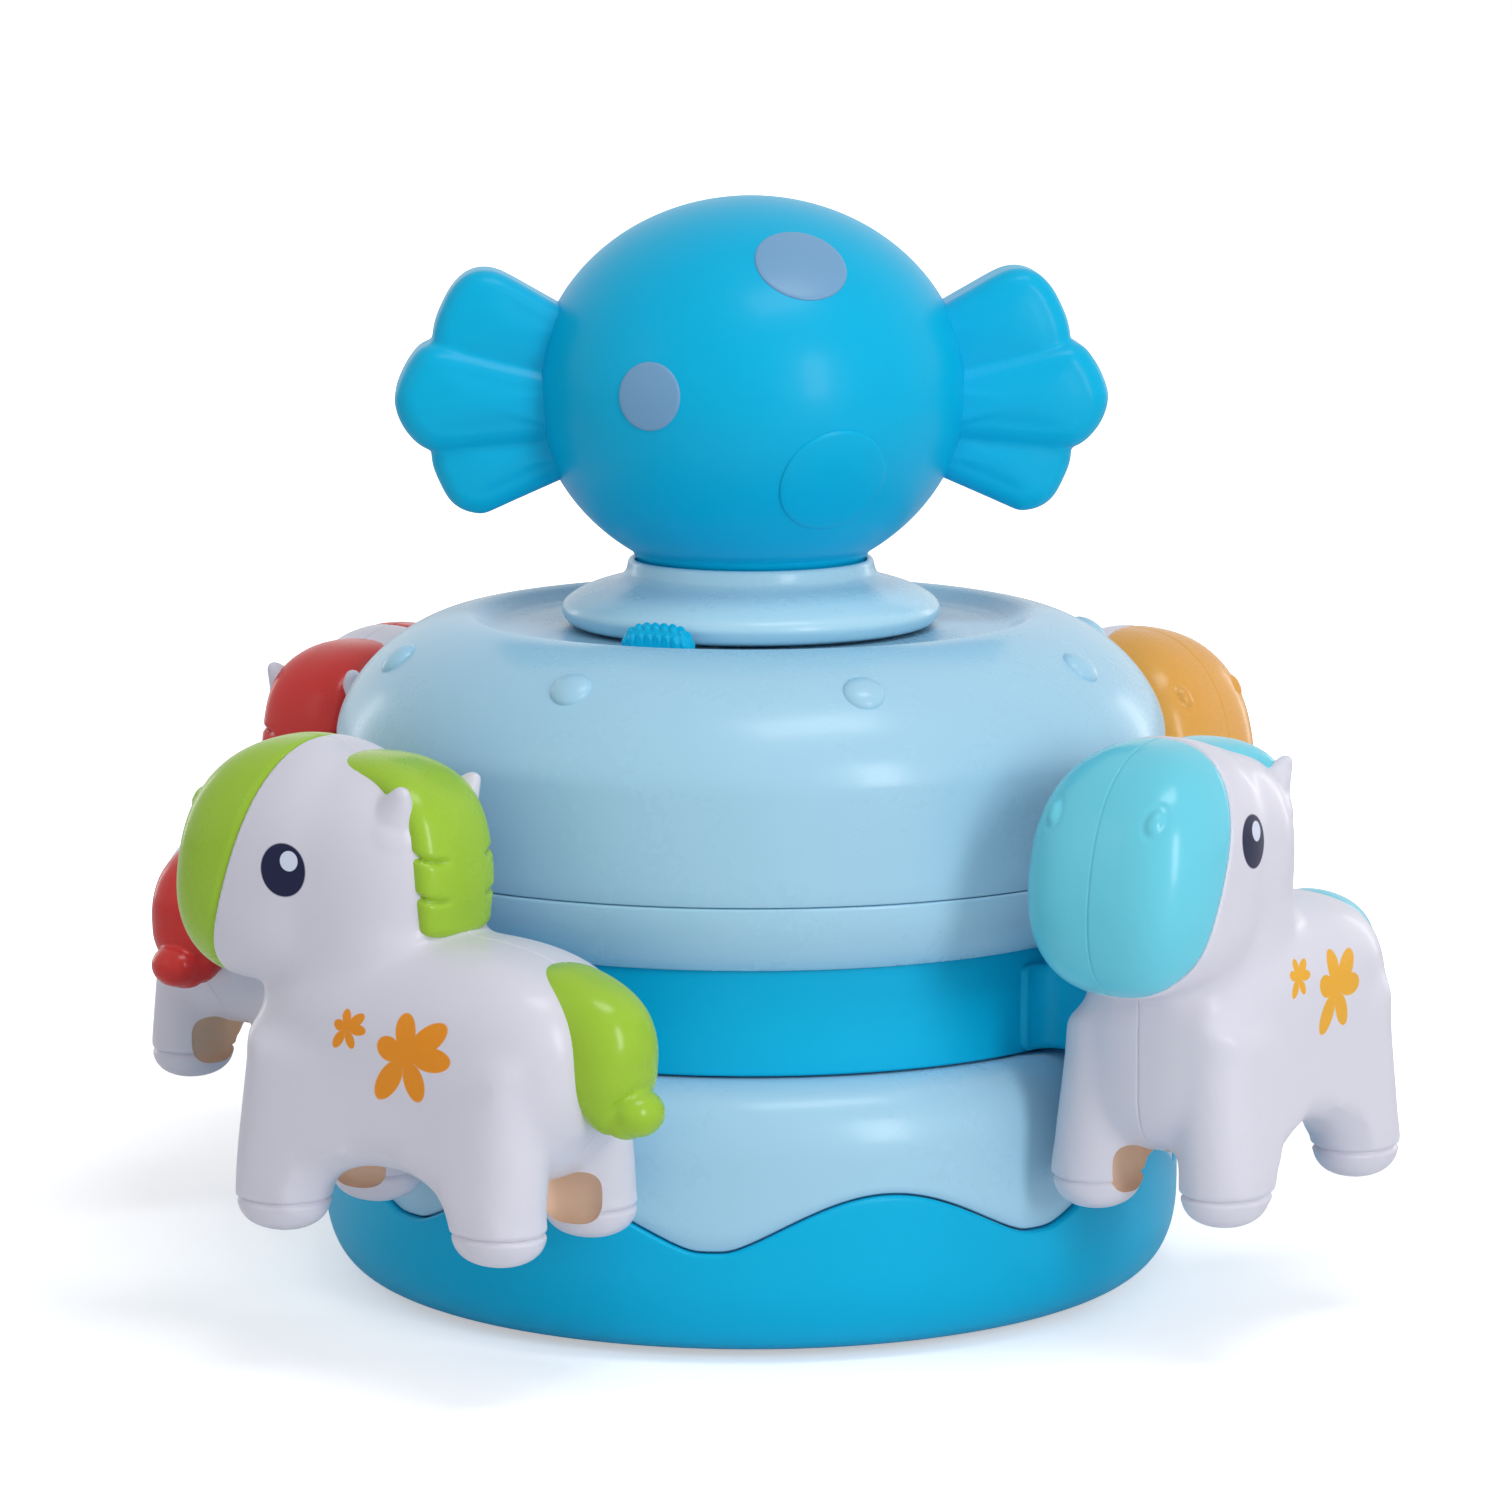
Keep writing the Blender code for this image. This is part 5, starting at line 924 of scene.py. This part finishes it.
# A piece of one pony; the painted body carries its places and keeps its pockets' material
def addPonyPiece(name, master, phi, nodes, material, slotName, painted=False):
    points = meshPoints(master)
    mesh = master.copy()
    setPoints(mesh, stationed(points, phi))
    mesh.shade_smooth()
    if painted:
        place = mesh.attributes.new("ponyPlace", "FLOAT_VECTOR", "POINT")
        place.data.foreach_set("vector", points.ravel())
        mesh.set_sharp_from_angle(angle=radians(50))
        mesh.materials[0] = material
    addPiece(name, mesh, None if painted else material, "pony_rotor", slotName, *nodes)


def buildPonies():
    body, muzzle = ponyMaster()
    trimForms = {"Muzzle": muzzle, "Mane": ponyMane(), "Tail": ponyTail()}
    for colour, phi in zip(decals, ponyAngles):
        node = f"{colour}_pony_"
        addPonyPiece(colour + "PonyBody", body, phi, (node + "outer_half", node + "inner_half"),
                     ponyWhites[colour], "pony_white", True)
        for label, mesh in trimForms.items():
            addPonyPiece(f"{colour}Pony{label}", mesh, phi, (node + label.lower(),), *trims[colour])


buildPonies()
print("stage: ponies")


# Finishes of the pieces carried over from the frame, by their slots
def dressFrame():
    looks = {"deep_blue": deepBlue, "pale_blue": paleBlue, "pony_white": ponyWhite,
             "white_nylon": plastic("nylon", (0.90, 0.90, 0.87), 0.45, drift=0.06),
             "steel": plastic("steel", (0.74, 0.74, 0.76), 0.30, metallic=1.0, drift=0.10),
             "brass": plastic("brass", (0.80, 0.68, 0.40), 0.34, metallic=1.0, drift=0.12),
             "foot_rubber": plastic("footRubber", (0.20, 0.20, 0.21), 0.75, drift=0.15, ripple=0.2),
             "battery_can": plastic("batteryCan", (0.36, 0.37, 0.40), 0.40, metallic=0.4, drift=0.10),
             "speaker_black": plastic("speakerBlack", (0.09, 0.09, 0.10), 0.55, drift=0.15),
             "board_green": plastic("boardGreen", (0.12, 0.42, 0.24), 0.45, drift=0.15)}
    slots = {entry["node"]: entry["material_slot"] for entry in frame["record"]["subparts"]}
    for name, node in frame["nodes"].items():
        if slots[name] in looks:
            node.data.materials.clear()
            node.data.materials.append(looks[slots[name]])


dressFrame()

# The floor's half size in millimetres, and where its own white starts and is full, in metres from the toy
stage = {"half": 9000, "near": 0.10, "far": 0.42, "nearGlow": 0.45, "world": 0.45,
         "worldColour": (0.95, 0.96, 1.0, 1)}
white = (1, 1, 1, 1)


# For camera rays the floor adds white of its own, a little near the toy, where the shadow stays, and all
# of it beyond its reach, so that the floor runs into the backdrop
def buildFloor():
    corners = np.array([(-1, -1, 0), (1, -1, 0), (1, 1, 0), (-1, 1, 0)]) * stage["half"]
    surface = plastic("floorPaper", (0.96, 0.96, 0.965), 0.9, drift=0.01, ripple=0.0)
    tree = surface.node_tree
    place = newNode(tree, "TexCoord")
    away = newNode(tree, "VectorMath", operation="LENGTH")
    setInputs(away, {0: place.outputs["Object"]})
    far = newNode(tree, "MapRange", interpolation_type="SMOOTHSTEP")
    setInputs(far, {"From Min": stage["near"], "From Max": stage["far"], "To Min": stage["nearGlow"],
                    "To Max": 1.0, "Value": away.outputs["Value"]})
    rays = newNode(tree, "LightPath")
    glow = mathNode(tree, "MULTIPLY", far.outputs["Result"], rays.outputs["Is Camera Ray"])
    setInputs(tree.nodes["Principled BSDF"], {"Emission Color": white, "Emission Strength": glow})
    addObject("floor", quadMesh(corners, [(0, 1, 2, 3)]), surface)


# The world lights the toy softly, and is plain white where the camera, glass or a gloss sees it
def buildWorld():
    world = bpy.data.worlds.new("studio")
    world.use_nodes = True
    tree = world.node_tree
    soft = tree.nodes["Background"]
    setInputs(soft, {"Color": stage["worldColour"], "Strength": stage["world"]})
    bright = newNode(tree, "Background")
    setInputs(bright, {"Color": white, "Strength": 1.0})
    rays = newNode(tree, "LightPath")
    seen = mathNode(tree, "MAXIMUM", rays.outputs["Is Camera Ray"], rays.outputs["Is Transmission Ray"])
    seen = mathNode(tree, "MAXIMUM", seen, rays.outputs["Is Glossy Ray"])
    mix = newNode(tree, "MixShader")
    setInputs(mix, {0: seen, 1: soft.outputs[0], 2: bright.outputs[0]})
    setInputs(tree.nodes["World Output"], {"Surface": mix.outputs[0]})
    scene.world = world


# Each lamp's place in metres, its width and height, and its power in watts
lamps = {"key": ((0.24, -0.42, 1.12), (0.55, 0.28), 3.4), "front": ((0.7, -1.0, 0.45), (0.26, 0.6), 4.8),
         "left": ((-0.85, -0.45, 0.55), (0.3, 0.5), 0.3), "rimRight": ((0.75, 0.8, 0.2), (0.12, 0.45), 0.6),
         "rimLeft": ((-0.75, 0.8, 0.2), (0.12, 0.45), 0.5)}
lampTarget = Vector((0, 0, 0.09))


def addLamp(name, location, size, power):
    lamp = bpy.data.lights.new(name, "AREA")
    lamp.shape = "RECTANGLE"
    lamp.size, lamp.size_y = size
    lamp.energy = power
    made = bpy.data.objects.new(name, lamp)
    scene.collection.objects.link(made)
    made.rotation_euler = (Vector(location) - lampTarget).to_track_quat("Z", "Y").to_euler()
    made.location = location


buildFloor()
buildWorld()
for label, lamp in lamps.items():
    addLamp(label + "Lamp", *lamp)

lens = bpy.data.cameras.new("camera")
lens.lens = 131.53
lens.sensor_width = 36
lens.clip_end = 20
camera = bpy.data.objects.new("camera", lens)
camera.location = (0.00085, -0.92775, 0.23347)
camera.rotation_euler = (radians(81.06), 0, 0)
scene.collection.objects.link(camera)
scene.camera = camera
scene.view_settings.view_transform = "Standard"
scene.view_settings.look = "None"
